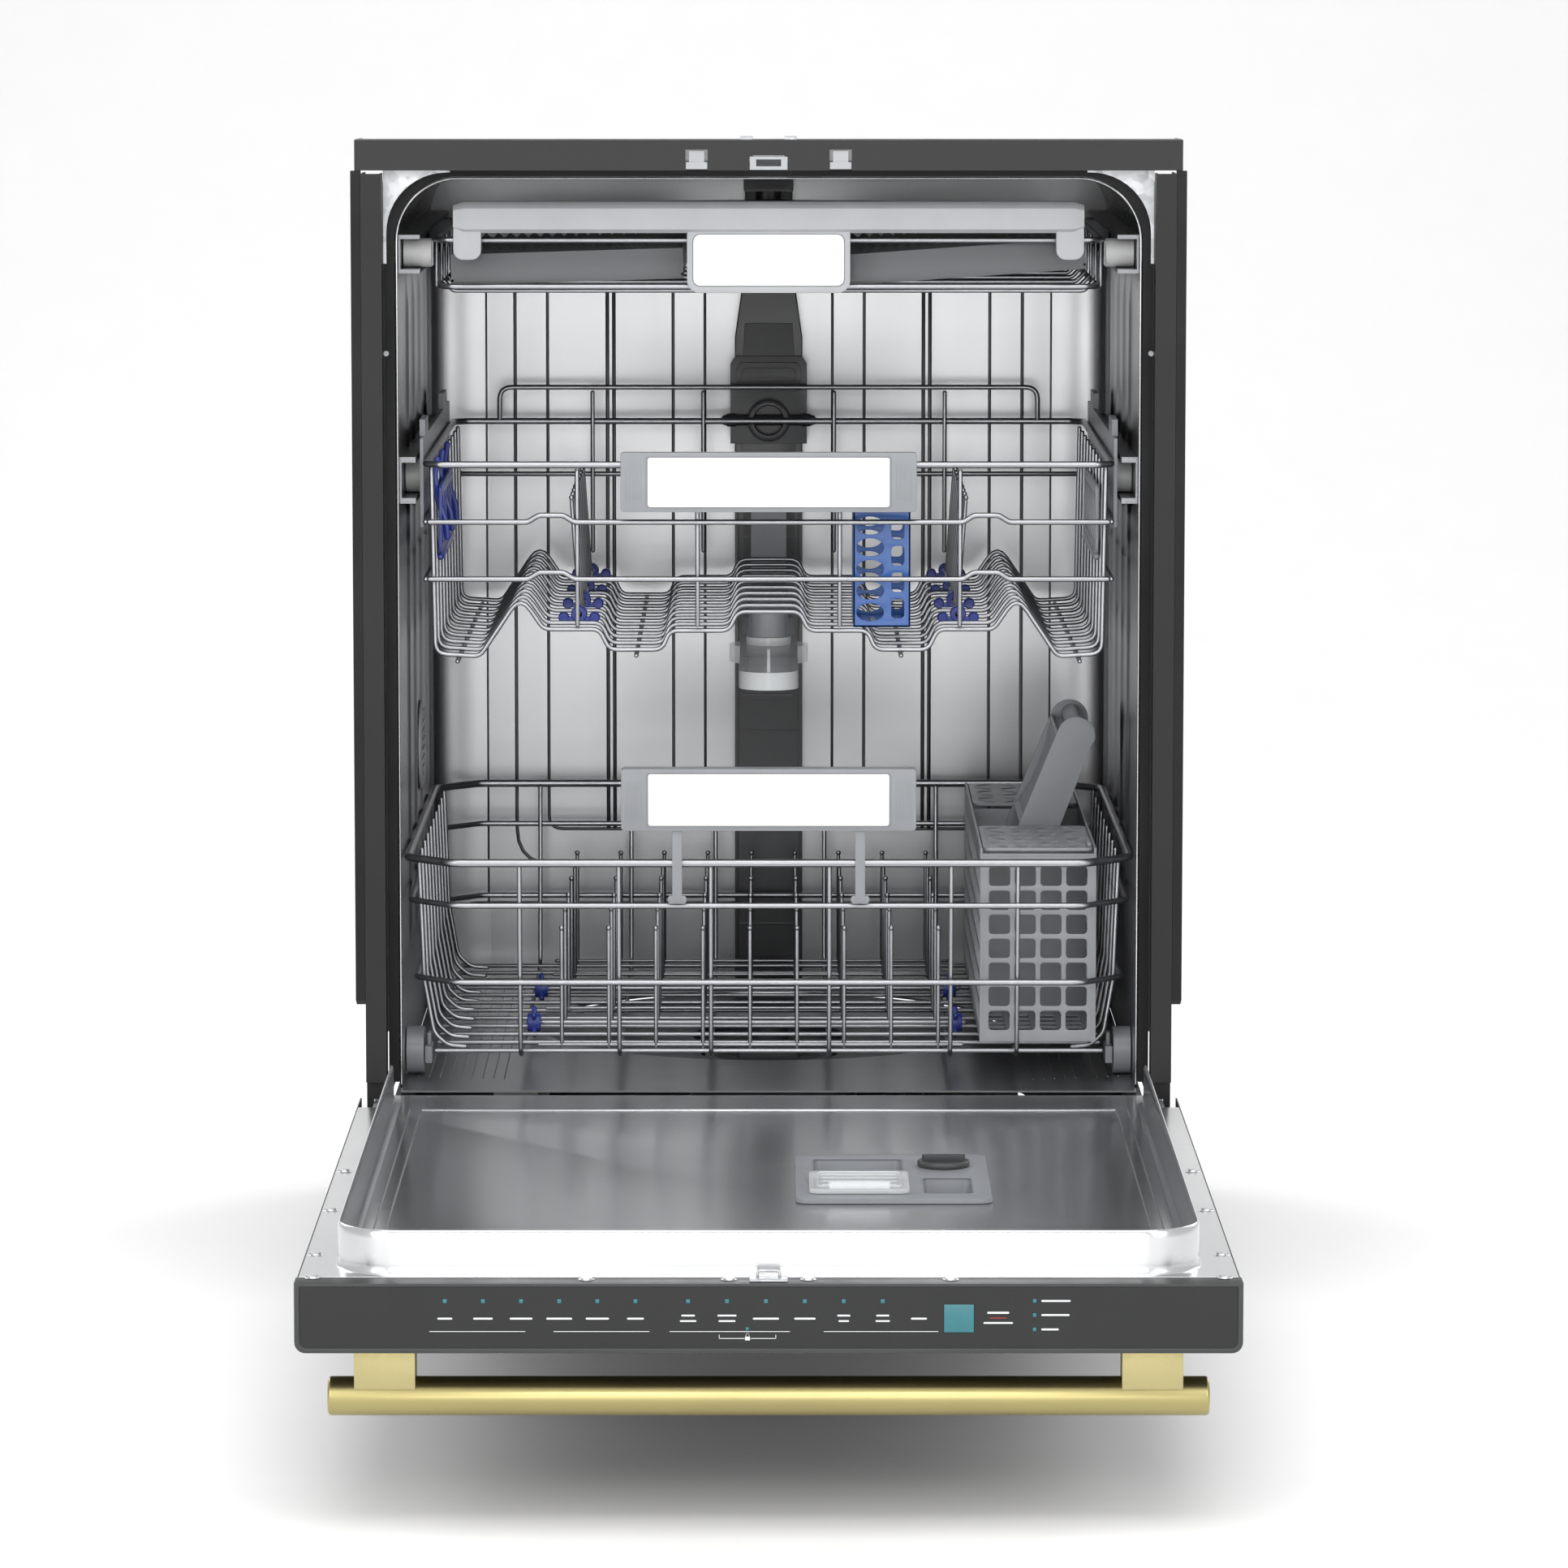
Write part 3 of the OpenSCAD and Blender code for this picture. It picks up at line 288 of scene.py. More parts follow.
# ------------------------------------------------------------------ mesh helpers
class Mesh:
    """collects tubes, boxes and sheets, in mm from the front plane"""
    def __init__(self):
        self.v = []; self.f = []; self.smooth = []
    def add(self, vs, fs, smooth=True):
        n = len(self.v)
        self.v += [tuple(p) for p in vs]
        self.f += [tuple(i + n for i in f) for f in fs]
        self.smooth += [smooth] * len(fs)
    def tube(self, pts, r, seg=10, closed=False, ball=0.0, caps=(True, True)):
        P = [Vector(p) for p in pts]
        n = len(P)
        T = []
        for i in range(n):
            a = P[i - 1] if (i > 0 or closed) else P[i]
            b = P[(i + 1) % n] if (i < n - 1 or closed) else P[i]
            T.append((b - a).normalized())
        ref = Vector((0, 0, 1)) if abs(T[0].z) < 0.9 else Vector((1, 0, 0))
        N = [(ref - T[0] * ref.dot(T[0])).normalized()]
        for i in range(1, n):
            v = N[-1] - T[i] * N[-1].dot(T[i])
            N.append(v.normalized())
        rings = []
        def ring(c, t, nn, rad):
            bb = t.cross(nn)
            return [c + (nn * math.cos(2 * math.pi * k / seg) + bb * math.sin(2 * math.pi * k / seg)) * rad for k in range(seg)]
        if not closed and caps[0]:
            for a in (66, 33):
                rings.append(ring(P[0] - T[0] * r * math.sin(math.radians(a)), T[0], N[0], r * math.cos(math.radians(a))))
        for i in range(n):
            rings.append(ring(P[i], T[i], N[i], r))
        if not closed and caps[1]:
            if ball:
                R = r * ball
                for a in (-60, -30, 0, 30, 60):
                    rings.append(ring(P[-1] + T[-1] * (R + R * math.sin(math.radians(a))), T[-1], N[-1], max(R * math.cos(math.radians(a)), r * 0.4)))
            else:
                for a in (33, 66):
                    rings.append(ring(P[-1] + T[-1] * r * math.sin(math.radians(a)), T[-1], N[-1], r * math.cos(math.radians(a))))
        vs = [p for rg in rings for p in rg]
        m = len(rings)
        fs = []
        for i in range(m if closed else m - 1):
            j = (i + 1) % m
            for k in range(seg):
                l = (k + 1) % seg
                fs.append((i * seg + k, i * seg + l, j * seg + l, j * seg + k))
        if not closed:
            fs.append(tuple(range(seg - 1, -1, -1)))
            fs.append(tuple((m - 1) * seg + k for k in range(seg)))
        self.add(vs, fs)
    def rod(self, a, b, r, seg=10, ball=0.0):
        self.tube([a, b], r, seg, False, ball)
    def box(self, a, b, bevel=0.0, seg=2):
        bm = bmesh.new()
        bmesh.ops.create_cube(bm, size=1.0)
        a = Vector(a); b = Vector(b)
        for v in bm.verts:
            v.co = Vector([a[i] + (v.co[i] + 0.5) * (b[i] - a[i]) for i in range(3)])
        if bevel:
            bmesh.ops.bevel(bm, geom=bm.edges[:], offset=bevel, segments=seg, affect="EDGES", profile=0.7)
        self.bm(bm)
    def bm(self, bm, mat=None, smooth=True):
        if mat is not None:
            bmesh.ops.transform(bm, matrix=mat, verts=bm.verts)
        bm.verts.index_update()
        self.add([v.co[:] for v in bm.verts], [[v.index for v in f.verts] for f in bm.faces], smooth)
        bm.free()
    def prism(self, outline, place, depth, bevel=0.0, seg=2, holes=()):
        """outline (u, v) extruded by depth; place(u, v, w) -> point; holes are outlines too"""
        bm = bmesh.new()
        loops = [list(outline)] + [list(h) for h in holes]
        edges = []
        for lp in loops:
            vs = [bm.verts.new((p[0], p[1], 0)) for p in lp]
            edges += [bm.edges.new((vs[i], vs[(i + 1) % len(vs)])) for i in range(len(vs))]
        bmesh.ops.triangle_fill(bm, edges=edges, use_beauty=True)
        faces = bm.faces[:]
        ext = bmesh.ops.extrude_face_region(bm, geom=faces)
        new = [g for g in ext["geom"] if isinstance(g, bmesh.types.BMVert)]
        for v in new:
            v.co.z += depth
        bmesh.ops.recalc_face_normals(bm, faces=bm.faces)
        if bevel:
            es = [e for e in bm.edges if len(e.link_faces) == 2 and e.calc_face_angle(0) > 0.9 and abs(e.verts[0].co.z - e.verts[1].co.z) < 1e-6]
            bmesh.ops.bevel(bm, geom=es, offset=bevel, segments=seg, affect="EDGES", profile=0.7)
        for v in bm.verts:
            v.co = Vector(place(v.co.x, v.co.y, v.co.z))
        bmesh.ops.recalc_face_normals(bm, faces=bm.faces)
        self.bm(bm)
    def lathe(self, prof, centre, axis="z", seg=48):
        """prof is a list of (r, h)"""
        vs = []; fs = []
        n = len(prof)
        for k in range(seg):
            a = 2 * math.pi * k / seg
            for r, h in prof:
                u, v = r * math.cos(a), r * math.sin(a)
                p = {"z": (u, v, h), "x": (h, u, v), "y": (u, h, v)}[axis]
                vs.append((centre[0] + p[0], centre[1] + p[1], centre[2] + p[2]))
        for k in range(seg):
            l = (k + 1) % seg
            for i in range(n - 1):
                fs.append((k * n + i, k * n + i + 1, l * n + i + 1, l * n + i))
        bm = bmesh.new()
        bv = [bm.verts.new(p) for p in vs]
        for f in fs:
            bm.faces.new([bv[i] for i in f])
        bmesh.ops.remove_doubles(bm, verts=bm.verts, dist=1e-4)
        bmesh.ops.recalc_face_normals(bm, faces=bm.faces)
        self.bm(bm)
    def sheet(self, rows, smooth=True, flip=False):
        """a grid of points"""
        m, n = len(rows), len(rows[0])
        fs = []
        for i in range(m - 1):
            for j in range(n - 1):
                q = (i * n + j, i * n + j + 1, (i + 1) * n + j + 1, (i + 1) * n + j)
                fs.append(q[::-1] if flip else q)
        self.add([p for r in rows for p in r], fs, smooth)
    def done(self, name, mat, body, *nodes, slot=None, thick=0.0, bevel=0.0, angle=40, sub=0):
        me = bpy.data.meshes.new(name)
        me.from_pydata([W(p) for p in self.v], [], self.f)
        me.validate()
        o = bpy.data.objects.new(name, me)
        bpy.context.scene.collection.objects.link(o)
        for p, s in zip(me.polygons, self.smooth):
            p.use_smooth = s
        me.materials.append(MATS[mat])
        if thick:
            md = o.modifiers.new("thick", "SOLIDIFY"); md.thickness = thick / 1000.0; md.offset = 1.0
        if bevel:
            md = o.modifiers.new("bevel", "BEVEL"); md.width = bevel / 1000.0; md.segments = 2; md.limit_method = "ANGLE"
        if sub:
            md = o.modifiers.new("sub", "SUBSURF"); md.levels = sub; md.render_levels = sub
        try:
            me.set_sharp_from_angle(angle=math.radians(angle))
        except Exception:
            pass
        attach(o, body)
        if nodes:
            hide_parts(*nodes)
        return o

def fillet(pts, R, n=5, closed=False):
    P = [Vector(p) for p in pts]
    m = len(P)
    out = []
    for i in range(m):
        if not closed and (i == 0 or i == m - 1):
            out.append(P[i]); continue
        a, b, c = P[i - 1], P[i], P[(i + 1) % m]
        u, w = (b - a), (c - b)
        la, lb = u.length, w.length
        u.normalize(); w.normalize()
        cs = max(-1, min(1, u.dot(w)))
        th = math.acos(cs)
        if th < 0.02:
            out.append(b); continue
        d = min(R * math.tan(th / 2), la * 0.48, lb * 0.48)
        s, e = b - u * d, b + w * d
        for k in range(n + 1):
            t = k / n
            out.append(s * (1 - t) ** 2 + b * 2 * t * (1 - t) + e * t * t)
    return out

def ring(hw, y0, y1, z, c):
    return [(-hw + c, y0, z), (hw - c, y0, z), (hw, y0 + c, z), (hw, y1 - c, z), (hw - c, y1, z), (-hw + c, y1, z), (-hw, y1 - c, z), (-hw, y0 + c, z)]

def rrect(x0, x1, z0, z1, r, n=6):
    pts = []
    for cx, cz, a0 in ((x1 - r, z1 - r, 0), (x0 + r, z1 - r, 90), (x0 + r, z0 + r, 180), (x1 - r, z0 + r, 270)):
        for k in range(n + 1):
            a = math.radians(a0 + 90.0 * k / n)
            pts.append((cx + r * math.cos(a), cz + r * math.sin(a)))
    return pts


# ------------------------------------------------------------------ stainless tub
TB = 545.0           # inside of the back wall
def arch_pts(hw, z0, z1, r, n=10):
    """outline of the tub seen from the front, from the left foot over the top to the right foot"""
    pts = [(-hw, z0)]
    for k in range(n + 1):
        a = math.radians(180 - 90.0 * k / n)
        pts.append((-hw + r + r * math.cos(a), z1 - r + r * math.sin(a)))
    for k in range(n + 1):
        a = math.radians(90 - 90.0 * k / n)
        pts.append((hw - r + r * math.cos(a), z1 - r + r * math.sin(a)))
    pts.append((hw, z0))
    return pts

def seg_dist(px, pz, a, b):
    ax, az = a; bx, bz = b
    dx, dz = bx - ax, bz - az
    L = dx * dx + dz * dz
    t = 0 if L == 0 else max(0, min(1, ((px - ax) * dx + (pz - az) * dz) / L))
    return math.hypot(px - ax - t * dx, pz - az - t * dz)

def outline_segs(x0, x1, z0, z1, r):
    p = rrect(x0, x1, z0, z1, r, 5)
    return [(p[i], p[(i + 1) % len(p)]) for i in range(len(p))]

def panel_lift(x, z):
    """the back wall is dished very slightly between its pressed lines"""
    return 0.5 * math.sin(math.pi * max(0, min(1, (abs(x) - 51) / 152.0))) * math.sin(math.pi * max(0, min(1, (z - 262) / 500.0)))

tub = Mesh()
# back wall as a fine grid with its pressed lines
nx, nz = 90, 100
x0w, x1w, z0w, z1w = -224.5, 224.5, 164.9, 830.8
rows = []
for j in range(nz + 1):
    z = z0w + (z1w - z0w) * j / nz
    rows.append([(x0w + (x1w - x0w) * i / nx, TB - panel_lift(x0w + (x1w - x0w) * i / nx, z), z) for i in range(nx + 1)])
tub.sheet(rows)
# corners between the back wall and the sides: a rounded edge
R = 45.3
for s in (-1, 1):
    rows = []
    for j in range(41):
        z = z0w + (786 - z0w) * j / 40
        rows.append([(s * (224.5 + R * math.sin(math.radians(a))), TB - 0.05 - 18 * (1 - math.cos(math.radians(a))), z) for a in range(0, 91, 10)])
    tub.sheet(rows, flip=(s > 0))
# walls and ceiling: the arch swept from the mouth to the back
outl = arch_pts(270.0, 164.9, 830.9, 45.4, 12)
ys = [28.1, 30, 60] + [60 + 22.0 * i for i in range(1, 22)] + [TB - 6, TB]
def side_rib(y, z, s):
    h = 0.0
    for yc in (150, 240, 330, 420, 505):
        d = abs(y - yc)
        if d < 11 and 250 < z < 752:
            e = min(1, (z - 250) / 14.0, (752 - z) / 14.0)
            h = max(h, 2.2 * e * (math.cos(math.pi * d / 11) * 0.5 + 0.5))
    return h
side = Mesh()
zs = [164.9 + (785 - 164.9) * i / 60 for i in range(61)]
ysf = [28.1 + (TB - 0.1 - 28.1) * i / 150 for i in range(151)]
for s in (-1, 1):
    rows = [[(s * (269.95 - side_rib(y, z, s)), y, z) for y in ysf] for z in zs]
    side.sheet(rows, flip=(s < 0))
side.done("tub_side_walls", "tub_side", "machine", slot="stainless", angle=60)
top = [p for p in outl if p[1] >= 785]
# the ceiling and its upper corner arcs in a darker steel: painted shade
roof = Mesh()
roof.sheet([[(x, y, z) for x, z in top] for y in ys], flip=True)
for x in (-170, -85, 85, 170):
    roof.tube([(x, 70, 830.6), (x, 500, 830.6)], 1.4, 8)
roof.done("tub_ceiling", "stainless_painted_shade", "machine", slot="stainless", angle=60)
# upper corners of the back wall
for s in (-1, 1):
    rows = []
    for k in range(11):
        rr = 45.4 * k / 10
        rows.append([(s * (224.6 + rr * math.cos(math.radians(a))), TB - 0.04, 785.5 + rr * math.sin(math.radians(a))) for a in range(0, 91, 9)])
    tub.sheet(rows, flip=(s > 0))
tub.done("tub_walls", "tub_back", "machine", slot="stainless", angle=60)
# pressed lines of the back wall as thin beads in near-black steel: the dark is painted shade in the creases
tub = Mesh()
for s in (-1, 1):
    def line(pts, r=1.25, R=12, closed=False):
        tub.tube([(p.x, TB - 0.55, p.z) for p in fillet([(s * x, 0, z) for x, z in pts], R, 5, closed)], r, 8, closed)
    line([(76.5, 291), (177, 291), (177, 738), (76.5, 738)], 1.25, 11, True)
    for dx in (-2.6, 2.6):
        line([(126.5 + dx, 292), (126.5 + dx, 737)], 1.5)
    line([(51, 291), (51, 745)], 1.1)
    line([(2, 262), (203, 262), (203, 762), (2, 762)], 1.35, 30)
    line([(2, 231), (246, 231)], 0.9, 8)
    line([(226, 232), (226, 790)], 0.8, 8)
tub.done("tub_pressed_lines", "rib_painted_shade", "machine", slot="stainless", angle=60)

# rolled front edge of the tub mouth
e = Mesh()
pts = [(x, 28.9, z) for x, z in arch_pts(270.6, 166.5, 831.6, 46.0, 14)]
e.tube(pts, 0.85, 8)
e.done("tub_mouth_edge", "stainless", "machine", slot="stainless")

# ------------------------------------------------------------------ lower rack
LY0, LY1 = 20.0, 515.0
TW, G = 3.4, 0.12
m = Mesh()
for hw, y0, y1, z, c, d in ((266, LY0, LY1, 331.5, 34, 6.0), (264, LY0 + 4, LY1 - 4, 299.5, 33, 4.4), (260, LY0 + 8, LY1 - 8, 242, 30, 4.4)):
    m.tube(fillet(ring(hw, y0, y1, z, c), 16, 5, True), d / 2, 12, True)
for s in (-1, 1):
    for i in range(10):
        y = LY0 + 48 + i * 45
        m.tube(fillet([(s * 258.6, y, 329.5), (s * 255, y, 238), (s * 248, y, 198.5), (s * 238, y, 189.2), (s * 225, y, 188.2)], 14), 1.7)
for x in (-183, -110, -42.5, 44.6, 134, 183):
    m.tube(fillet([(x, LY0 + 4.6, 329.0), (x, LY0 + 14.4, 236), (x, LY0 + 21, 190), (x, LY0 + 34, 184.4), (x, LY1 - 34, 184.4), (x, LY1 - 21, 190), (x, LY1 - 14.4, 236), (x, LY1 - 4.6, 329.0)], 14), 1.7)
for i in range(12):
    y = LY0 + 30 + i * (LY1 - LY0 - 60) / 11
    m.rod((-246, y, 184.4 + TW + G), (246, y, 184.4 + TW + G), 1.7)
for y in (LY0 + 38, LY0 + 218, LY0 + 395, LY1 - 25):
    m.rod((-170, y, 191.2), (143, y, 191.2), 1.4)
    for i in range(9):
        x = -153 + i * 34.8
        m.rod((x, y, 189.8), (x, y, 276.4), 1.5, 10, 1.35)
m.done("lower_rack_wires", "rack_wire", "lower_rack", "lower_wires", slot="rack_wire")
# brackets that hold the wheels
m = Mesh()
for s in (-1, 1):
    for y in (LY0 + 70, LY1 - 90):
        x0, x1 = sorted((s * 250, s * 255.6))
        m.box((x0, y - 13.8, 174.2), (x1, y + 13.8, 187), 1.2)
        x0, x1 = sorted((s * 251.1, s * 253.9))
        m.box((x0, y - 6, 186.5), (x1, y + 6, 196), 0.8)
        m.lathe([(0, s * 255.2), (3, s * 255.2), (3, s * 264.3), (0, s * 264.3)], (0, y, 182.5), "x", 24)
m.done("lower_wheel_brackets", "mid_plastic", "lower_rack", slot="mid_plastic")

def tines(body, name, y):
    m = Mesh()
    m.rod((-172, y, 194), (147.5, y, 194), 2.0, 14)
    for i in range(9):
        x = -153 + i * 34.8
        m.rod((x, y, 195), (x, y, 278.2), 1.5, 10, 1.35)
    m.done(name, "rack_wire", body, {"tine_row_front": "lower_tines_front", "tine_row_rear": "lower_tines_rear"}[body], slot="rack_wire")
tines("tine_row_front", "tines_fold_front", LY0 + 128)
tines("tine_row_rear", "tines_fold_rear", LY0 + 302)

# ------------------------------------------------------------------ upper rack
UY0, UY1 = 32.0, 505.0
UP = [(-246.8, 618.5), (-244.5, 483), (-212, 481), (-182, 526), (-165, 501), (-124, 501), (-117, 486), (-78, 486), (-73, 500), (-29, 500), (-23, 514),
      (23, 514), (29, 500), (73, 500), (78, 486), (117, 486), (124, 501), (165, 501), (182, 526), (212, 481), (244.5, 483), (246.8, 618.5)]
m = Mesh()
m.tube(fillet(ring(250.6, UY0, UY1, 623, 10), 9, 5, True), 2.5, 12, True)
def joggle(y, z, dz=5.0, r=2.0):
    """a wire across the front that steps down round a support"""
    m.tube(fillet([(-248, y, z), (-176, y, z), (-168, y, z + dz), (-150, y, z + dz), (-142, y, z), (142, y, z), (150, y, z + dz), (168, y, z + dz), (176, y, z), (248, y, z)], 7, 3), r, 10)
joggle(UY0 + 0.4, 581)
joggle(UY0 + 2.5, 539)
m.rod((-248, UY1 - 0.4, 581), (248, UY1 - 0.4, 581), 2.0)
m.tube(fillet([(-214, UY1 - 0.2, 625), (-214, UY1 - 0.2, 650), (214, UY1 - 0.2, 650), (214, UY1 - 0.2, 625)], 10), 2.0)
for s in (-1, 1):
    for z in (581, 539):
        m.rod((s * 250.7, UY0 + 5, z), (s * 250.7, UY1 - 4, z), 2.0)
    m.rod((s * 97, UY0 + 8, 482.4), (s * 97, UY1 - 8, 482.4), 1.7)
    m.rod((s * 228, UY0 + 8, 478.2), (s * 228, UY1 - 8, 478.2), 1.7)
for x in (-140, -52, 52, 140):
    m.rod((x, UY1 - 4.3, 520), (x, UY1 - 4.3, 646), 1.7)
    m.rod((x, UY0 + 6.6, 505), (x, UY0 + 6.6, 618), 1.7)
for i in range(10):
    y = UY0 + 16 + i * (UY1 - UY0 - 32) / 9
    m.tube(fillet([(p[0], y, p[1]) for p in UP], 9, 4), 1.7, 10)
m.done("upper_rack_wires", "rack_wire", "upper_rack", "upper_wires", slot="rack_wire")

def fan(s):
    m = Mesh()
    m.tube([(s * 141, UY0 + 96, 505.2), (s * 141, UY1 - 20, 505.2)], 2.0, 14)
    for i in range(10):
        y = UY0 + 108 + i * 36
        m.rod((s * 141, y, 506.2), (s * 146.8, y, 588.6), 1.5, 10, 1.3)
    side = "left" if s < 0 else "right"
    m.done("tine_fan_" + side + "_wires", "rack_wire", "tine_fan_" + side, "upper_tines_" + side, slot="rack_wire")
    b = Mesh()
    for y in (UY0 + 98, UY0 + 250, UY1 - 30):
        b.lathe([(2.1, y), (3.6, y + 0.6), (3.6, y + 8.4), (2.1, y + 9)], (s * 141, 0, 505.2), "y", 20)
    b.done("tine_fan_" + side + "_clips", "blue_plastic", "tine_fan_" + side, slot="blue_plastic")
fan(-1); fan(1)

# blue clips that hold the folding tines, and straps over the cup shelves
m = Mesh()
for s_ in (-1, 1):
    for y in (UY0 + 92, UY0 + 205, UY0 + 318, UY1 - 16):
        x0, x1 = sorted((s_ * 128.5, s_ * 153.5))
        m.box((x0, y - 4.5, 499.5), (x1, y + 4.5, 503.0), 1.0)
        for sx in (-11.5, 11.5):
            m.lathe([(0, y - 5), (3.2, y - 5), (4.0, y - 4), (4.0, y + 4), (3.2, y + 5), (0, y + 5)], (s_ * 141 + sx, 0, 502.6), "y", 16)
        m.lathe([(2.3, y - 5.2), (5.4, y - 5.2), (6.0, y - 4.4), (6.0, y + 4.4), (5.4, y + 5.2), (2.3, y + 5.2)], (s_ * 141, 0, 505.2), "y", 20)
for s_ in (-1,):
    for y in (70, 150, 232):
        pts = [(s_ * 243.5, y, 624), (s_ * 245.5, y, 612), (s_ * 243.5, y, 596), (s_ * 237.5, y, 578), (s_ * 236.6, y, 567)]
        m.tube(fillet(pts, 14, 4), 2.3, 8)
m.done("upper_rack_clips", "blue_plastic", "upper_rack", slot="blue_plastic")
m = Mesh()
for y in (LY0 + 128, LY0 + 302):
    for x in (-176.5, 140.5):
        m.lathe([(2.3, x - 5), (6.6, x - 5), (7.2, x - 4), (7.2, x + 4), (6.6, x + 5), (2.3, x + 5)], (0, y, 194), "x", 10)
        for k in range(5):
            a_ = 2 * math.pi * k / 5
            m.tube([(x, y + 6 * math.cos(a_), 194 + 6 * math.sin(a_)), (x, y + 10.5 * math.cos(a_), 194 + 10.5 * math.sin(a_))], 1.9, 8)
m.done("lower_rack_clips", "blue_plastic", "lower_rack", slot="blue_plastic")

# ------------------------------------------------------------------ cutlery rack
CY0, CY1 = 34.0, 500.0
m = Mesh()
m.tube(fillet(ring(243, CY0 + 14, CY1, 786, 8), 7, 4, True), 2.1, 12, True)
m.tube(fillet(ring(240, CY0 + 16, CY1 - 2, 752, 8), 7, 4, True), 2.1, 12, True)
for s in (-1, 1):
    for i in range(6):
        m.rod((s * 243.4, CY0 + 40 + i * 80, 752), (s * 243.4, CY0 + 40 + i * 80, 785), 1.4)
for i in range(6):
    y = CY0 + 60 + i * 70
    m.tube(fillet([(-239, y, 754), (-232, y, 747), (232, y, 747), (239, y, 754)], 5), 1.7)
m.done("cutlery_rack_wires", "rack_wire", "cutlery_rack", "cutlery_frame", slot="rack_wire")
m = Mesh()
for s in (-1, 1):
    x0, x1 = sorted((s * 245.3, s * 246.3))
    m.box((x0, CY0 + 26, 767), (x1, CY0 + 46, 785), 0.3)
    m.lathe([(0, s * 246), (2.5, s * 246), (2.5, s * 261.8), (0, s * 261.8)], (0, CY0 + 36, 776), "x", 20)
    x0, x1 = sorted((s * 245.8, s * 267))
    m.box((x0, CY1 - 60, 766), (x1, CY1 - 20, 786), 3)
m.done("cutlery_rack_guides", "light_plastic", "cutlery_rack", slot="light_plastic")

# cutlery trays with slotted floors
def tray(s, x0, x1, z0, z1, name, mat):
    m = Mesh()
    y0, y1 = CY0 + 24, CY1 - 12
    L = math.hypot(x1 - x0, z1 - z0)
    ux, uz = (x1 - x0) / L, (z1 - z0) / L
    def P(u, v, w):      # u across, v front to back, w up from the floor
        return (x0 + ux * u - uz * w, y0 + v, z0 + uz * u + ux * w)
    D = y1 - y0
    holes = []
    cols = int(L // 17)
    for c in range(cols):
        for r in range(11):
            u0 = 7 + c * (L - 14) / cols
            v0 = 12 + r * (D - 24) / 11
            holes.append(rrect(u0 + 1.6, u0 + (L - 14) / cols - 1.6, v0 + 3, v0 + (D - 24) / 11 - 5, 2.4, 2))
    m.prism([(0, 0), (L, 0), (L, D), (0, D)], lambda u, v, w: P(u, v, w), 1.7, 0, holes=holes)
    # low walls and saw-tooth dividers
    def comb(v, h):
        pts = [(0, 0), (L, 0)]
        k = int(L // 9)
        for i in range(k, -1, -1):
            u = L * i / k
            pts.append((u, h))
            if i > 0:
                pts.append((u - L / k * 0.5, h - 4.5))
        m.prism(pts, lambda u, w, t: P(u, v + t, w), 1.8)
    comb(D - 2, 18)
    m.prism([(0, -2.5), (L, -2.5), (L, 20), (0, 20)], lambda u, w, t: P(u, 0.1 + t, w), 2.2, 0.7)
    for v in (D * 0.18, D * 0.36, D * 0.54, D * 0.72):
        comb(v, 13)
    for u in (0.1, L - 1.9):
        m.prism([(0, 0), (D, 0), (D, 17), (0, 17)], lambda v, w, t: P(u + t, v, w), 1.7)
    m.done(name + "_detail", mat, "cutlery_rack", name, slot="mid_plastic")
tray(-1, -232, -62, 755, 760, "cutlery_tray_left", "tray_grey")
tray(1, 58, 232, 755, 767, "cutlery_tray_right", "tray_grey")

# front bar of the cutlery rack, one moulded piece with a grip loop
m = Mesh()
yb0, yb1 = CY0 - 5.8, CY0 + 10.8
sec = [(yb0 + 3.2, 791.7), (yb0, 794.5), (yb0, 809.5), (yb0 + 4, 814), (yb0 + 9, 814.8), (yb1 - 1.5, 814), (yb1, 810), (yb1, 794), (yb1 - 2.5, 791.7)]
xs = [-229.3 + 458.6 * i / 60 for i in range(61)]
rows = []
for x in xs:
    rr = 8.0
    t = min(1.0, (229.3 - abs(x)) / rr)
    k = 1 - (1 - math.sqrt(max(0, 1 - (1 - t) ** 2))) * 0.22
    rows.append([(x, CY0 + 2.5 + (y - CY0 - 2.5) * k, 803.2 + (z - 803.2) * k) for y, z in sec + sec[:1]])
m.sheet(rows, flip=True)
for r in (rows[0][:-1], rows[-1][:-1]):
    n = len(m.v); m.v += r; m.f.append(tuple(range(n, n + len(r)))); m.smooth.append(False)
for s in (-1, 1):
    x0, x1 = sorted((s * 209, s * 229.3))
    m.prism(rrect(x0, x1, 772.2, 800, 7, 6), lambda u, v, w: (u, CY0 - 3.8 + w, v), 11.6, 1.4)
m.prism(rrect(-59.4, 59.4, 748.2, 799, 9, 7), lambda u, v, w: (u, CY0 - 3.6 + w, v), 7.2, 1.1, holes=[rrect(-55.2, 55.2, 752.8, 791, 5.5, 6)])
m.prism(rrect(-56, 56, 752, 793.4, 6, 6), lambda u, v, w: (u, CY0 - 0.4 + w, v), 3.4, 0)
m.done("cutlery_bar_moulding", "light_plastic", "cutlery_rack", "cutlery_front_bar", slot="light_plastic")
m = Mesh()
m.prism(rrect(-54.8, 54.8, 753.4, 790.6, 5, 6), lambda u, v, w: (u, CY0 - 1.8 + w, v), 1.3, 0.3)
m.done("cutlery_bar_inset", "blank_white", "cutlery_rack", slot="white_plastic")

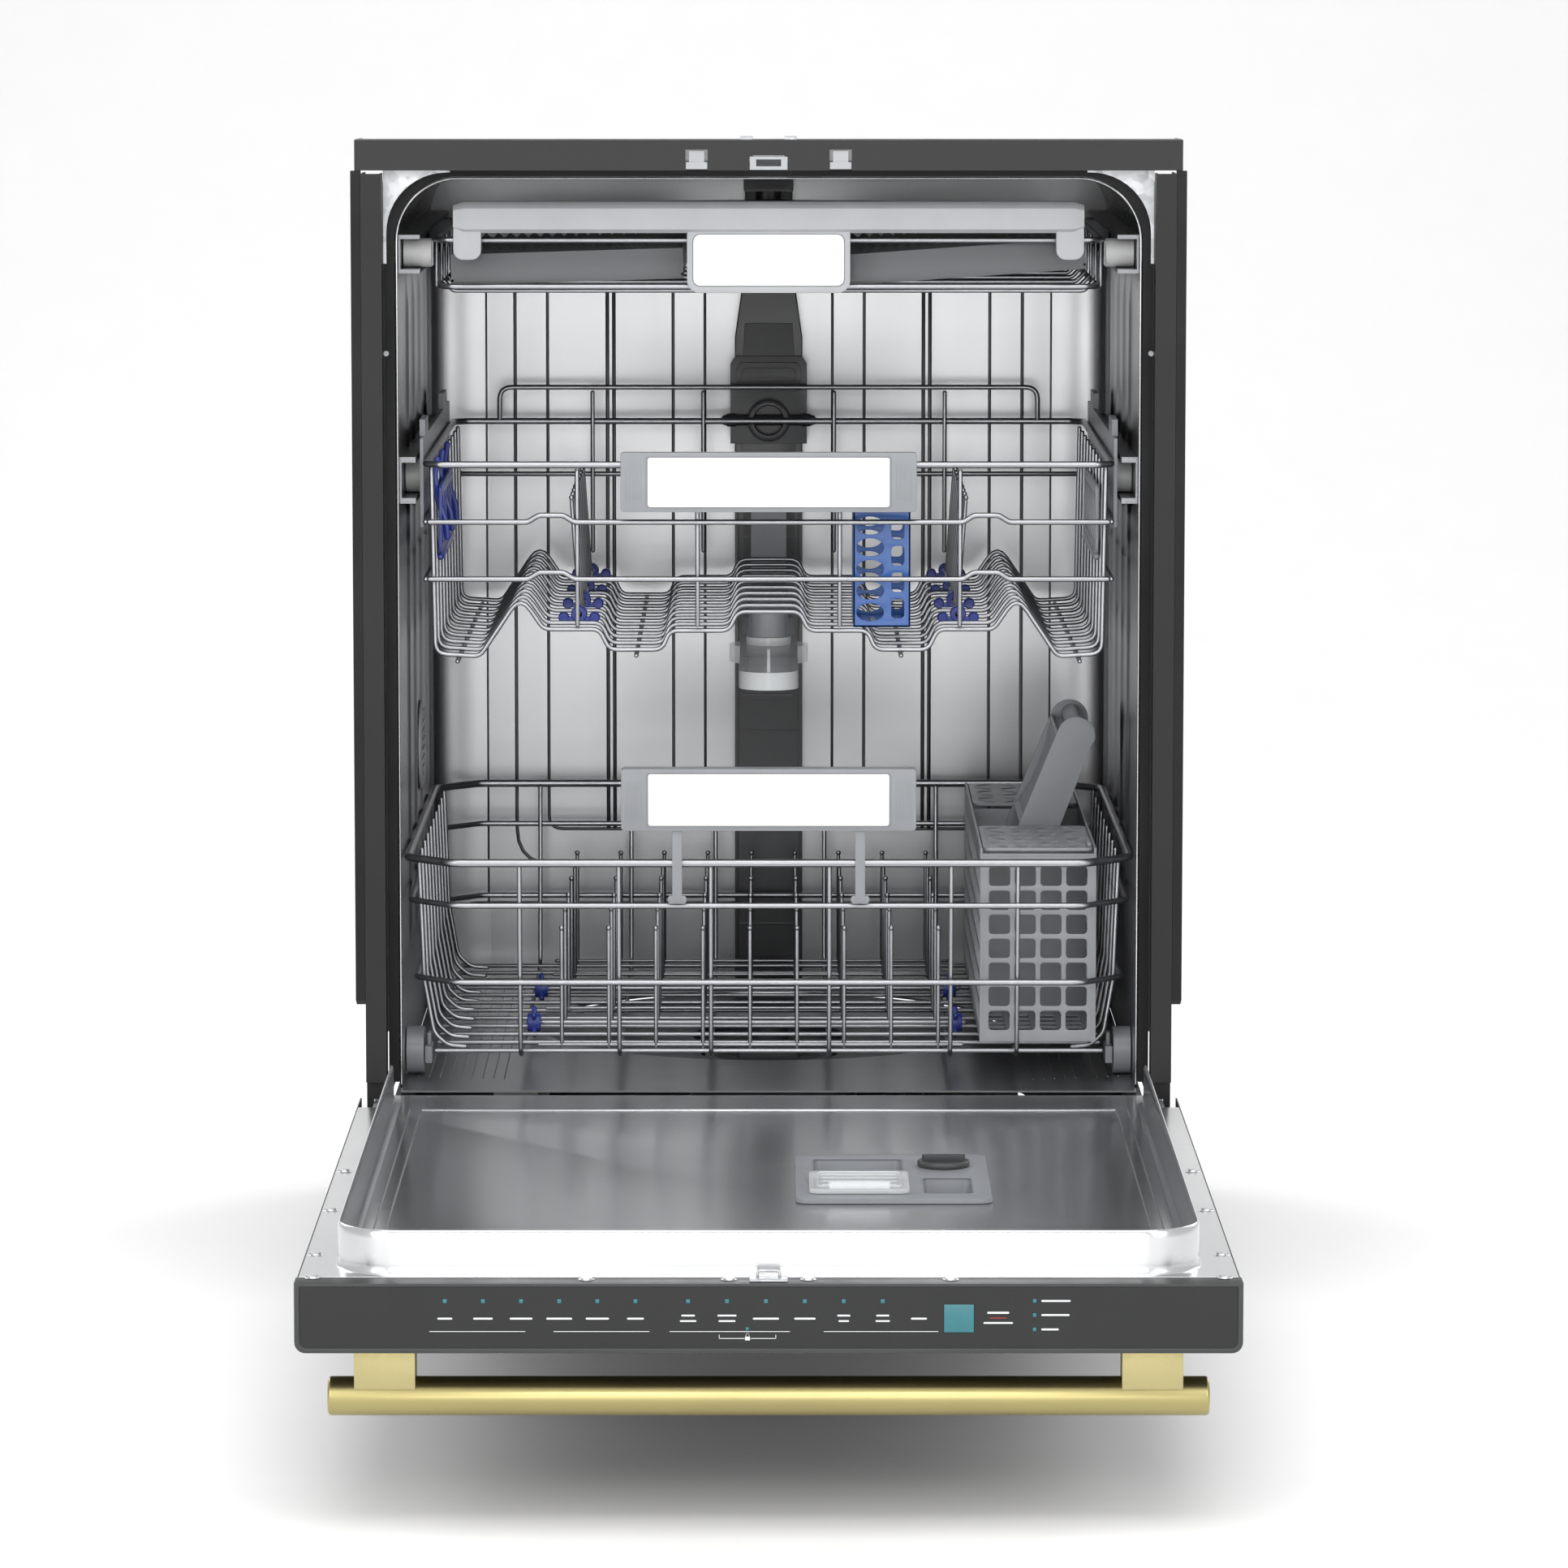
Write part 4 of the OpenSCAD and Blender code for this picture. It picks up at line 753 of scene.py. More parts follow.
# ------------------------------------------------------------------ tub floor, sill and outside
m = Mesh()
circ = [(180 * math.cos(2 * math.pi * k / 72), 330 + 180 * math.sin(2 * math.pi * k / 72)) for k in range(72)]
m.prism([(-269.8, 8.2), (269.8, 8.2), (269.8, 544.8), (-269.8, 544.8)], lambda u, v, w: (u, v, 163.3 + w), 1.35, 0, holes=[circ])
m.tube([(x, y, 163.6) for x, y in circ], 0.9, 8, True)
for i in range(9):          # shallow drain channels beside the sump
    for s in (-1, 1):
        m.tube([(s * (196 + i * 8), 60 + i * 2, 164.6), (s * (196 + i * 8), 530 - i * 2, 164.6)], 0.5, 6)
oo = arch_pts(271.4, 163.4, 832.4, 46.8, 12)
m.sheet([[(x, y, z) for x, z in oo] for y in (28.2, 200, 400, 546.3)])
n = len(m.v)
m.v += [(x, 546.3, z) for x, z in oo]; m.f.append(tuple(range(n, n + len(oo)))); m.smooth.append(False)
m.sheet([[(x, y, 163.35) for x in (-271.4, 0, 271.4)] for y in (28.2, 100)])
m.done("tub_floor", "tub_side", "machine", "tub_shell", slot="stainless", angle=50)

# ------------------------------------------------------------------ spray arms and filter
def spray_arm(name, node, body, mat, slot, c, z, half, w, hub, th, axis, jets, up=1):
    m = Mesh()
    n = 34
    rows = []
    for i in range(n + 1):
        t = -1 + 2.0 * i / n
        ss = abs(t)
        ww = w / 2 * (0.80 + 0.20 * math.cos(ss * 2.2)) * (math.sqrt(max(0.0, 1 - ((ss - 0.93) / 0.07) ** 2)) if ss > 0.93 else 1)
        ww = max(ww, 0.4)
        hh = th / 2 * (0.72 + 0.28 * (1 - ss)) * (max(0.25, math.sqrt(max(0, 1 - ((ss - 0.95) / 0.05) ** 2))) if ss > 0.95 else 1)
        sec = []
        for k in range(20):
            a = 2 * math.pi * k / 20
            cx = math.copysign(abs(math.cos(a)) ** 0.55, math.cos(a)); sz = math.copysign(abs(math.sin(a)) ** 0.75, math.sin(a))
            off = 3.0 * math.sin(t * 3.14)
            p = (t * half, ww * cx + off * 0, hh * sz)
            sec.append((c[0] + p[0], c[1] + p[1], z + p[2]) if axis == "x" else (c[0] + p[1], c[1] + p[0], z + p[2]))
        rows.append(sec + sec[:1])
    m.sheet(rows, flip=(axis == "x"))
    m.lathe([(0, z - th / 2 - 0.01), (hub * 0.42, z - th / 2), (hub / 2, z - th * 0.3), (hub / 2, z + th * 0.3), (hub * 0.44, z + th / 2 - 0.2), (hub * 0.2, z + th / 2), (0, z + th / 2)], (c[0], c[1], 0), "z", 40)
    for s in (-1, 1):
        for i in range(jets):
            u = s * (hub / 2 + 10 + i * (half - hub / 2 - 24) / (jets - 1))
            v = (4 if i % 2 else -4) * w / 30.0
            p = (c[0] + u, c[1] + v) if axis == "x" else (c[0] + v, c[1] + u)
            m.lathe([(1.2, z + up * th * 0.30), (3.6, z + up * th * 0.33), (3.2, z + up * (th / 2 - 0.1)), (1.5, z + up * (th / 2 - 0.1)), (1.1, z + up * th * 0.36)], (p[0], p[1], 0), "z", 14)
    m.done(name, mat, body, node, slot=slot)
spray_arm("low_spray_arm", "lower_spray_arm", "low_arm", "mid_plastic", "mid_plastic", (0, 330), 171.2, 179, 29, 55, 7.2, "x", 8)
spray_arm("top_spray_arm", "ceiling_spray_arm", "top_arm", "mid_plastic", "mid_plastic", (0, 310), 801.5, 131, 23, 43, 8.6, "x", 7, -1)

m = Mesh()
m.lathe([(0, 150.6), (49.6, 150.6), (49.9, 152), (49.9, 157), (48.5, 159.6), (44, 159.9), (42, 157.8), (36, 156.6), (22, 156.2), (0, 156.2)], (0, 215, 0), "z", 64)
m.lathe([(33.2, 110.4), (38.6, 110.4), (38.6, 150.5), (33.2, 150.5)], (0, 215, 0), "z", 48)
m.prism(rrect(-24, 24, -4, 4, 3.6, 5), lambda u, v, w: (u, 215 + v, 156 + w), 8.3, 1.4)
for k in range(24):
    a = 2 * math.pi * k / 24
    m.rod((25 * math.cos(a), 215 + 25 * math.sin(a), 156.6), (40 * math.cos(a), 215 + 40 * math.sin(a), 157.4), 0.8, 6)
for k in range(36):
    a = 2 * math.pi * k / 36
    m.rod((38.3 * math.cos(a), 215 + 38.3 * math.sin(a), 112), (38.3 * math.cos(a), 215 + 38.3 * math.sin(a), 149), 0.6, 6)
m.done("filter_detail", "sump_plastic", "filter", "filter_cup", slot="sump_plastic")

# ------------------------------------------------------------------ handles of the racks
def rack_handle(name, node, body, y0, y1, z0, z1, legs):
    m = Mesh()
    D = y1 - y0
    out = rrect(-107.9, 107.9, z0, z1, 2.6, 5)
    m.prism(out, lambda u, v, w: (u, y0 + 0.35 + w, v), 2.4, 0.8)
    # the shell that returns to the rear round the grip
    inn = rrect(-104, 104, z0 + 3.4, z1 - 3.4, 2, 4)
    m.prism(out, lambda u, v, w: (u, y0 + 2.0 + w, v), D - 2.2, 0.6, holes=[inn])
    m.tube([(u, y0 + 0.3, v) for u, v in rrect(-89.2, 89.2, z0 + 3.0, z1 - 3.0, 2.2, 4)], 0.4, 6, True)
    for s_ in (-1, 1):
        for k in range(5):
            x0, x1 = sorted((s_ * (93 + k * 2.6), s_ * (93.9 + k * 2.6)))
            m.box((x0, y0 + 0.1, z0 + 9), (x1, y0 + 0.7, z1 - 9), 0.2)
    for s in legs:
        x0, x1 = sorted((s * 63.4, s * 70.6))
        m.prism(rrect(x0, x1, z0 - 53, z0 + 8, 2, 4), lambda u, v, w: (u, y0 + 1.9 + w, v), 2.6, 0.6)
        x0, x1 = sorted((s * 60.2, s * 73.8))
        m.prism(rrect(x0, x1, z0 - 54, z0 - 48.2, 2.4, 4), lambda u, v, w: (u, y0 + 2.2 + w, v), 5.2, 0.5)
    m.done(name, "handle_grey", body, node, slot="mid_plastic")
    m = Mesh()
    m.prism(rrect(-88, 88, z0 + 3.9, z1 - 3.9, 1.8, 4), lambda u, v, w: (u, y0 - 0.05 + w, v), 0.8, 0.25)
    m.done(name + "_inset", "blank_white", body, slot="white_plastic")
rack_handle("lower_handle_shell", "lower_handle", "lower_rack", LY0 - 7.9, LY0 + 7.9, 356.2, 401.8, (-1, 1))
rack_handle("upper_handle_shell", "upper_handle", "upper_rack", UY0 - 11.9, UY0 - 3.3, 589.2, 632.8, ())

# ------------------------------------------------------------------ silverware basket
BX0, BX1, BY0, BY1, BZ0, BZ1 = 156.0, 242.0, 56.0, 466.0, 193.5, 338.0
m = Mesh()
def win(u0, u1, v0, v1, nu, nv, bar, r, skip=()):
    hs = []
    du, dv = (u1 - u0) / nu, (v1 - v0) / nv
    for i in range(nu):
        for j in range(nv):
            if (i, j) in skip:
                continue
            hs.append(rrect(u0 + i * du + bar / 2, u0 + (i + 1) * du - bar / 2, v0 + j * dv + bar / 2, v0 + (j + 1) * dv - bar / 2, r, 3))
    return hs
for y, out in ((BY0, -1), (BY1 - 2, 1)):
    m.prism([(BX0, BZ0), (BX1, BZ0), (BX1, BZ1 - 4.2), (BX0, BZ1 - 4.2)], lambda u, v, w: (u, y + 0.1 + w, v), 1.8, 0.4, holes=win(BX0 + 5, BX1 - 5, BZ0 + 7, BZ1 - 12, 4, 7, 3.4, 2.6))
for x in (BX0, BX1 - 2):
    m.prism([(BY0, BZ0), (BY1, BZ0), (BY1, BZ1 - 0.2), (BY0, BZ1 - 0.2)], lambda u, v, w: (x + 0.1 + w, u, v), 1.8, 0.4, holes=win(BY0 + 6, BY1 - 6, BZ0 + 7, BZ1 - 14, 20, 6, 3.4, 2.6))
for y in (BY0 + 136, BY1 - 138):
    m.prism([(BX0, BZ0), (BX1, BZ0), (BX1, BZ1 - 4.2), (BX0, BZ1 - 4.2)], lambda u, v, w: (u, y + 0.1 + w, v), 1.8, 0.4)
m.prism([(BX0 + 0.5, BY0 + 0.5), (BX1 - 0.5, BY0 + 0.5), (BX1 - 0.5, BY1 - 0.5), (BX0 + 0.5, BY1 - 0.5)], lambda u, v, w: (u, v, BZ0 + 0.05 + w), 1.9, 0.4, holes=win(BX0 + 4, BX1 - 4, BY0 + 5, BY1 - 5, 4, 20, 4.0, 3))
# rolled rims
for z in (BZ1 - 5.5,):
    m.tube([(BX0 + 0.9, BY0 + 0.9, z), (BX1 - 0.9, BY0 + 0.9, z)], 0.9, 8)
    m.tube([(BX0 + 0.9, BY1 - 0.9, z), (BX1 - 0.9, BY1 - 0.9, z)], 0.9, 8)
HY0, HY1, HX, HZ = BY0 + 140, BY1 - 142, 199.0, 322.0
m.tube([(HX, BY0 + 137, HZ), (HX, HY0 + 4.9, HZ)], 2, 16)
m.tube([(HX, HY1 - 4.9, HZ), (HX, BY1 - 137, HZ)], 2, 16)
m.done("basket_lattice", "basket_grey", "basket", "silverware_basket", slot="mid_plastic", angle=35)

def tilt(p, a=22.0):
    """a point of the upright handle, leaned to the right about its pins"""
    c, s = math.cos(math.radians(a)), math.sin(math.radians(a))
    return (HX + p[0] * c + p[2] * s, p[1], HZ - p[0] * s + p[2] * c)
m = Mesh()
for y in (HY0, HY1 - 5):
    out = [(15 * math.cos(math.radians(a)), 15 * math.sin(math.radians(a))) for a in range(180, 361, 15)] + [(13.5, 90 + 0)] + [(14.5 * math.cos(math.radians(a)), 90 + 14.5 * math.sin(math.radians(a))) for a in range(0, 181, 15)]
    hole = [(2.1 * math.cos(math.radians(a)), 2.1 * math.sin(math.radians(a))) for a in range(0, 360, 24)]
    m.prism(out, lambda u, v, w: tilt((u, y + w, v)), 5, 0.9, holes=[hole])
shell = []
for k in range(13):
    v = 12 + 76.0 * k / 12
    u = -14.4 + 5.5 * math.sin(math.pi * k / 12)
    shell.append((u, v))
for off in (0.0, 2.0):
    m.sheet([[tilt((u + off, y, v)) for u, v in shell] for y in (HY0 + 4.8, HY0 + 64, HY1 - 4.8)], flip=(off > 0))
for k in range(8):
    y = HY0 + 14 + (HY1 - HY0 - 28) * k / 7
    m.tube([tilt((u - 0.3, y, v)) for u, v in shell[1:-1]], 0.7, 6)
m.prism(rrect(-14.6, 14.6, 84.1, 86.9, 1.2, 3), lambda u, v, w: tilt((u, HY0 + 4.9 + w, v)), HY1 - HY0 - 9.8, 0)
sec = []
rows = []
for i in range(25):
    y = HY0 + 4.9 + (HY1 - HY0 - 9.8) * i / 24
    rr = 8.4 - 0.5 * math.cos(i / 24 * 2 * math.pi * 4) * 0.5 - 0.3
    rows.append([tilt((rr * math.cos(math.radians(a)), y, 94 + rr * math.sin(math.radians(a)))) for a in range(0, 361, 20)])
m.sheet(rows)
for k in range(9):
    y = HY0 + 12 + (HY1 - HY0 - 24) * k / 8
    m.prism([(-13, 86.5), (13, 86.5), (0, 92)], lambda u, v, w: tilt((u, y + w, v)), 1.6)
m.done("basket_grip", "mid_plastic", "basket_grip", "basket_handle", slot="mid_plastic")

m = Mesh()
def leaf(cu, cv, a, L=9.0, w=3.4):
    ca, sa = math.cos(math.radians(a)), math.sin(math.radians(a))
    pts = []
    for k in range(12):
        t = 2 * math.pi * k / 12
        x, y = L * math.cos(t), w * math.sin(t)
        pts.append((cu + x * ca - y * sa, cv + x * sa + y * ca))
    return pts
for y0, y1 in ((BY0 + 2.4, BY0 + 135), (BY1 - 135, BY1 - 2.4)):
    x0, x1 = BX0 + 2.6, BX1 - 2.6
    hs = []
    for i in range(4):
        for j in range(6):
            cu = x0 + 11.5 + i * (x1 - x0 - 23) / 3.0; cv = y0 + 13 + j * (y1 - y0 - 26) / 5.0
            hs.append(leaf(cu, cv, 45 if (i + j) % 2 else 135))
    m.prism(rrect(x0, x1, y0, y1, 5, 5), lambda u, v, w: (u, v, BZ1 - 2.5 + w), 2.2, 0.4, holes=hs)
for y in (BY0 + 10, BY1 - 40):
    m.tube([(BX1 - 5, y, BZ1 + 1.2), (BX1 - 5, y + 30, BZ1 + 1.2)], 2, 16)
m.done("basket_lid_lattice", "basket_grey", "basket_cover", "basket_lids", slot="mid_plastic", angle=35)

# ------------------------------------------------------------------ cup shelves and utensil holder
def shelf(s, mat, body, node):
    m = Mesh()
    hs = []
    for i in range(7):
        v0 = 66 + i * 26.0
        hs.append(rrect(v0, v0 + 20, 562, 598, 6, 4))
    m.prism(rrect(60.2, 249.8, 554.2, 605.8, 7, 5), lambda u, v, w: (s * (239.9 + w), u, v), 2.2, 0.5, holes=hs)
    m.tube([(s * 241, 64, 553), (s * 241, 246, 553)], 2.5, 16)
    for y in (66, 244):
        m.tube([(s * 241, y, 556), (s * 241, y, 604)], 1.15, 10)
    m.done(node + "_strap", mat, body, node, slot=mat if mat != "mid_plastic" else "mid_plastic")
shelf(-1, "blue_plastic", "shelf_left", "cup_shelf_left")
shelf(1, "mid_plastic", "shelf_right", "cup_shelf_right")

m = Mesh()
hx0, hx1, hy0, hy1, hz0, hz1 = 62.0, 104.0, 50.0, 128.0, 502.2, 590.0
def rings(cx, z0, z1, k, rx):
    out = []
    dz = (z1 - z0) / k
    for i in range(k):
        cz = z0 + (i + 0.5) * dz
        out.append([(cx + rx * math.cos(2 * math.pi * t / 18), cz + (dz / 2 - 1.3) * math.sin(2 * math.pi * t / 18)) for t in range(18)])
    return out
for y in (hy0, hy1 - 1.6):
    m.prism([(hx0, hz0), (hx1, hz0), (hx1, hz1), (hx0, hz1)], lambda u, v, w: (u, y + w, v), 1.6, 0.4,
            holes=rings(hx0 + 12.5, hz0 + 3, hz1 - 5, 5, 10.2) + win(hx0 + 25.5, hx1 - 2.0, hz0 + 4, hz1 - 6, 1, 4, 5.0, 3))
for x in (hx0, hx1 - 1.6):
    m.prism([(hy0, hz0), (hy1, hz0), (hy1, hz1), (hy0, hz1)], lambda u, v, w: (x + w, u, v), 1.6, 0.4, holes=win(hy0 + 2.5, hy1 - 2.5, hz0 + 4, hz1 - 6, 6, 7, 2.2, 1.8))
m.prism([(hx0, hy0), (hx1, hy0), (hx1, hy1), (hx0, hy1)], lambda u, v, w: (u, v, hz0 + w), 1.8, 0.4, holes=win(hx0 + 3, hx1 - 3, hy0 + 3, hy1 - 3, 3, 6, 2.6, 2))
m.tube(fillet([(hx0 + 1, hy0 + 1, hz1 - 1.2), (hx1 - 1, hy0 + 1, hz1 - 1.2), (hx1 - 1, hy1 - 1, hz1 - 1.2), (hx0 + 1, hy1 - 1, hz1 - 1.2)], 3, 3, True), 1.1, 8, True)
m.done("utensil_lattice", "blue_light", "upper_rack", "utensil_holder", slot="blue_plastic", angle=35)

# ------------------------------------------------------------------ rear duct
m = Mesh()
m.prism([(-27, 172.2), (27, 172.2), (27, 688), (19.5, 741), (-19.5, 741), (-27, 688)], lambda u, v, w: (u, 523.2 + w, v), 21.2, 2.2, 3)
m.prism([(-19.3, 500), (19.3, 500), (22.5, 640), (19, 700), (-19, 700), (-22.5, 640)], lambda u, v, w: (u, 522.1 + w, v), 3, 0.9)
m.prism(rrect(-23, 23, 398, 458, 4, 4), lambda u, v, w: (u, 522.1 + w, v), 2, 0.6, holes=[rrect(-20.4, 20.4, 403 + i * 7.4, 406.6 + i * 7.4, 1.2, 2) for i in range(7)])
m.box((-19, 300.2, 812.1), (19, 544.4, 823.8), 2.6)
m.box((-19, 530.2, 738), (19, 544.4, 813), 2)
for z in (563, 623):
    m.lathe([(6, 524), (17, 524), (17, 513.2), (15.6, 512.1), (12.4, 512.1), (11.6, 513.6), (11.6, 520), (6, 520)], (0, 0, z), "y", 40)
    m.tube([(-33.9, 517, z), (33.9, 517, z)], 4.4, 18)
    for s in (-1, 1):
        m.lathe([(4.4, s * 26), (5.2, s * 26.6), (5.2, s * 33), (4.4, s * 33.8)], (0, 517, z), "x", 20)
m.lathe([(0, 806.4), (10, 806.4), (10, 812.4), (0, 812.4)], (0, 310, 0), "z", 24)
# steps, ledges and slots on the front of the duct
m.prism([(-30.5, 604), (30.5, 604), (30.5, 668), (26.5, 674), (-26.5, 674), (-30.5, 668)], lambda u, v, w: (u, 519.4 + w, v), 4.2, 1.0)
m.prism([(-26, 646), (26, 646), (26, 664), (22.5, 669), (-22.5, 669), (-26, 664)], lambda u, v, w: (u, 516.4 + w, v), 3.4, 0.9)
m.prism([(-22, 654), (22, 654), (22, 660), (19, 664.5), (-19, 664.5), (-22, 660)], lambda u, v, w: (u, 514.4 + w, v), 2.4, 0.7)
for i in range(5):
    m.box((-20, 517.6, 574 + i * 5.2), (20, 519.8, 576 + i * 5.2), 0.6)
for s_ in (-1, 1):
    x0_, x1_ = sorted((s_ * 24.2, s_ * 26.6))
    m.box((x0_, 520.8, 190), (x1_, 523.6, 596), 0.6)
for z_ in (216, 268, 320, 372, 476, 528):
    m.box((-25, 521.6, z_), (25, 523.6, z_ + 1.8), 0.5)
m.done("rear_duct_shell", "duct_plastic", "machine", "rear_duct", slot="duct_plastic")

# vent in the left wall
m = Mesh()
m.lathe([(0, -269), (34.9, -269), (34.9, -267.6), (33.6, -266.7), (29.5, -266.7), (28.5, -267.8), (0, -267.8)], (0, 316, 385), "x", 56)
for k in range(8):
    v = -24.5 + k * 7
    w_ = math.sqrt(28.0 ** 2 - v * v)
    m.box((-268, 316 - w_, 385 + v - 1.2), (-266.75, 316 + w_, 385 + v + 1.2), 0.4)
m.box((-284, 284.2, 345.2), (-272.3, 347.8, 424.8), 2.5)
m.lathe([(0, -276), (30, -276), (30, -268.6), (0, -268.6)], (0, 316, 385), "x", 40)
m.done("side_vent", "light_plastic", "machine", "air_break", slot="light_plastic")

# ------------------------------------------------------------------ door, open at rest
# liner: flat sheet with a rolled rim round the tray
def u_path(hw, y0, y1, r, n=12):
    """from the hinge end on the left, round the front, to the hinge end on the right"""
    pts = [(-hw, y1), (-hw, (y1 + y0) / 2)]
    for k in range(n + 1):
        a = math.radians(180 + 90.0 * k / n)
        pts.append((-hw + r + r * math.cos(a), y0 + r + r * math.sin(a)))
    for k in range(n + 1):
        a = math.radians(270 + 90.0 * k / n)
        pts.append((hw - r + r * math.cos(a), y0 + r + r * math.sin(a)))
    pts += [(hw, (y1 + y0) / 2), (hw, y1)]
    return pts

m = Mesh()
cup = [(21, -455), (147, -455), (147, -285), (21, -285)]
m.prism([(-297.2, -715.6), (297.2, -715.6), (297.2, -62), (284.4, -62), (284.4, -8.2), (-284.4, -8.2), (-284.4, -62), (-297.2, -62)], lambda u, v, w: (u, v, 162.7 + w), 1.25, 0.2, holes=[cup])
# profile of the rim: (outward offset, height)
prof_out = [(1.6, 164.0), (0.6, 164.6), (0.1, 166.2), (0.0, 170), (0.0, 187), (-0.2, 190.5), (-0.8, 192.4), (-1.5, 192.9)]
prof_in = [(-1.5, 192.9), (-2.3, 192.4), (-2.9, 190.5), (-3.0, 187), (-3.0, 171), (-3.6, 167.5), (-5.2, 165.0), (-8.0, 164.05)]
rows = []
for off, z in prof_out + prof_in[1:]:
    rows.append([(x, y, z) for x, y in u_path(274.9 + min(off, 0) * 1.0 + max(off, 0), -711.9 - off, -50, 40 + off, 14)])
m.sheet(rows)
# a shallow step pressed into the tray
for inset, r in ((16, 26), (24, 20)):
    m.tube([(x, y, 164.0) for x, y in u_path(274.9 - inset, -711.9 + inset, -74, r, 10)], 0.7, 6)
m.tube([(-250, -74, 164.0), (250, -74, 164.0)], 0.7, 6)
m.done("door_liner_sheet", "stainless_h", "door", "door_liner", slot="stainless", angle=50)

# control panel with a fine groove round its face
m = Mesh()
def wins():
    hs = [[(110.25, 132.55), (129.35, 132.55), (129.35, 150.65), (110.25, 150.65)]]
    for x0, st in ((-205.1, 24.0), (-52.0, 24.5)):
        for i in range(6):
            x = x0 + i * st
            hs.append([(x, 151.25), (x + 2.6, 151.25), (x + 2.6, 153.95), (x, 153.95)])
    for z in (133.4, 142.6, 151.6):
        hs.append([(166.15, z - 0.05), (168.65, z - 0.05), (168.65, z + 2.45), (166.15, z + 2.45)])
    return hs
def panel_outline(e, r=7.0):
    x0, x1, z0, z1 = -298.8 + e, 298.8 - e, 119.1 + e, 163.8 - e * 0.6
    pts = [(x1, z1), (x0, z1)]
    for k in range(7):
        a = math.radians(180 + 90 * k / 6.0)
        pts.append((x0 + r + r * math.cos(a), z0 + r + r * math.sin(a)))
    for k in range(7):
        a = math.radians(270 + 90 * k / 6.0)
        pts.append((x1 - r + r * math.cos(a), z0 + r + r * math.sin(a)))
    return pts
FZ = -737.72
m.prism(panel_outline(3.9, 4.0), lambda u, v, w: (u, FZ + w, v), 2.6, 0.12, 1, holes=wins())
m.prism(panel_outline(0.0), lambda u, v, w: (u, FZ + 0.25 + w, v), 21.3, 0.6, 2, holes=[panel_outline(4.3, 3.6)])
m.prism(panel_outline(3.0, 4.6), lambda u, v, w: (u, FZ + 1.5 + w, v), 1.0, 0, 1, holes=wins())
m.done("control_panel_face", "panel_dark", "door", "control_panel", slot="panel_dark", angle=35)
m = Mesh()
m.prism(panel_outline(0.15), lambda u, v, w: (u, FZ - 0.02 + w, v), 0.7, 0.25, 2, holes=[panel_outline(3.1, 4.6)])
m.done("control_panel_frame", "panel_edge", "door", slot="panel_dark", angle=35)

m = Mesh()
def slab(m, x0, x1, z0, z1, y=-737.95, d=0.3, r=0.0):
    o = rrect(x0, x1, z0, z1, r, 3) if r else [(x0, z0), (x1, z0), (x1, z1), (x0, z1)]
    m.prism(o, lambda u, v, w: (u, y + w, v), d)
for x0, x1 in ((-213.5, -153.2), (-135.3, -75.1), (-62.3, 13.3), (34.7, 106.7)):
    slab(m, x0, x1, 133.05, 133.45)
slab(m, -31.3, -15.2, 128.6, 129.0); slab(m, -11.2, 4.7, 128.6, 129.0)
slab(m, -31.3, -30.9, 128.6, 131.2); slab(m, 4.3, 4.7, 128.6, 131.2)
# plain padlock shape
slab(m, -14.9, -11.7, 127.6, 130.0, r=0.4)
m.tube([(-14.3, -737.85, 129.9), (-14.3, -737.85, 131.2), (-13.9, -737.85, 131.9), (-13.3, -737.85, 132.1), (-12.7, -737.85, 131.9), (-12.3, -737.85, 131.2), (-12.3, -737.85, 129.9)], 0.12, 6)
# blank marks under the lamps
for i, w_ in enumerate((9.4, 12.2, 14.2, 16.2, 14.6, 10.6)):
    c = -203.8 + i * 24.0
    slab(m, c - w_ / 2, c + w_ / 2, 140.9, 142.1, r=0.55)
for i, (a, b) in enumerate(((8.6, 10.4), (12.0, 10.6), (16.4, 0), (13.4, 0), (8.2, 6.6), (8.2, 9.0))):
    c = -50.7 + i * 24.5
    if b:
        slab(m, c - a / 2, c + a / 2, 142.9, 144.0, r=0.5); slab(m, c - b / 2, c + b / 2, 139.4, 140.5, r=0.5)
    else:
        slab(m, c - a / 2, c + a / 2, 140.9, 142.1, r=0.55)
slab(m, 89.6, 99.6, 140.9, 142.1, r=0.55)
slab(m, 137.6, 151.4, 144.6, 145.9, r=0.6); slab(m, 135.2, 153.8, 138.2, 139.3, r=0.5)
for z, w_ in ((152.8, 18.4), (143.8, 17.8), (134.6, 11.0)):
    slab(m, 171.6, 171.6 + w_, z - 0.6, z + 0.6, r=0.55)
m.done("panel_marks", "mark_white", "door", slot="panel_dark")
m = Mesh(); slab(m, 139.2, 149.8, 141.7, 142.1)
m.done("panel_mark_red", "mark_red", "door", slot="panel_dark")

# square display and lamps
m = Mesh()
m.box((110.4, -737.86, 132.7), (129.2, -735.4, 150.5), 0.3)
for x0, st in ((-205.1, 24.0), (-52.0, 24.5)):
    for i in range(6):
        x = x0 + i * st
        m.box((x + 0.05, -737.86, 151.35), (x + 2.55, -735.4, 153.85), 0.2)
for z in (133.4, 142.6, 151.6):
    m.box((166.25, -737.86, z), (168.55, -735.4, z + 2.35), 0.2)
m.box((-14.4, -737.93, 134.2), (-12.5, -737.5, 135.9), 0.1)
m.done("panel_lamps", "display_teal", "door", "panel_display", slot="display_teal")

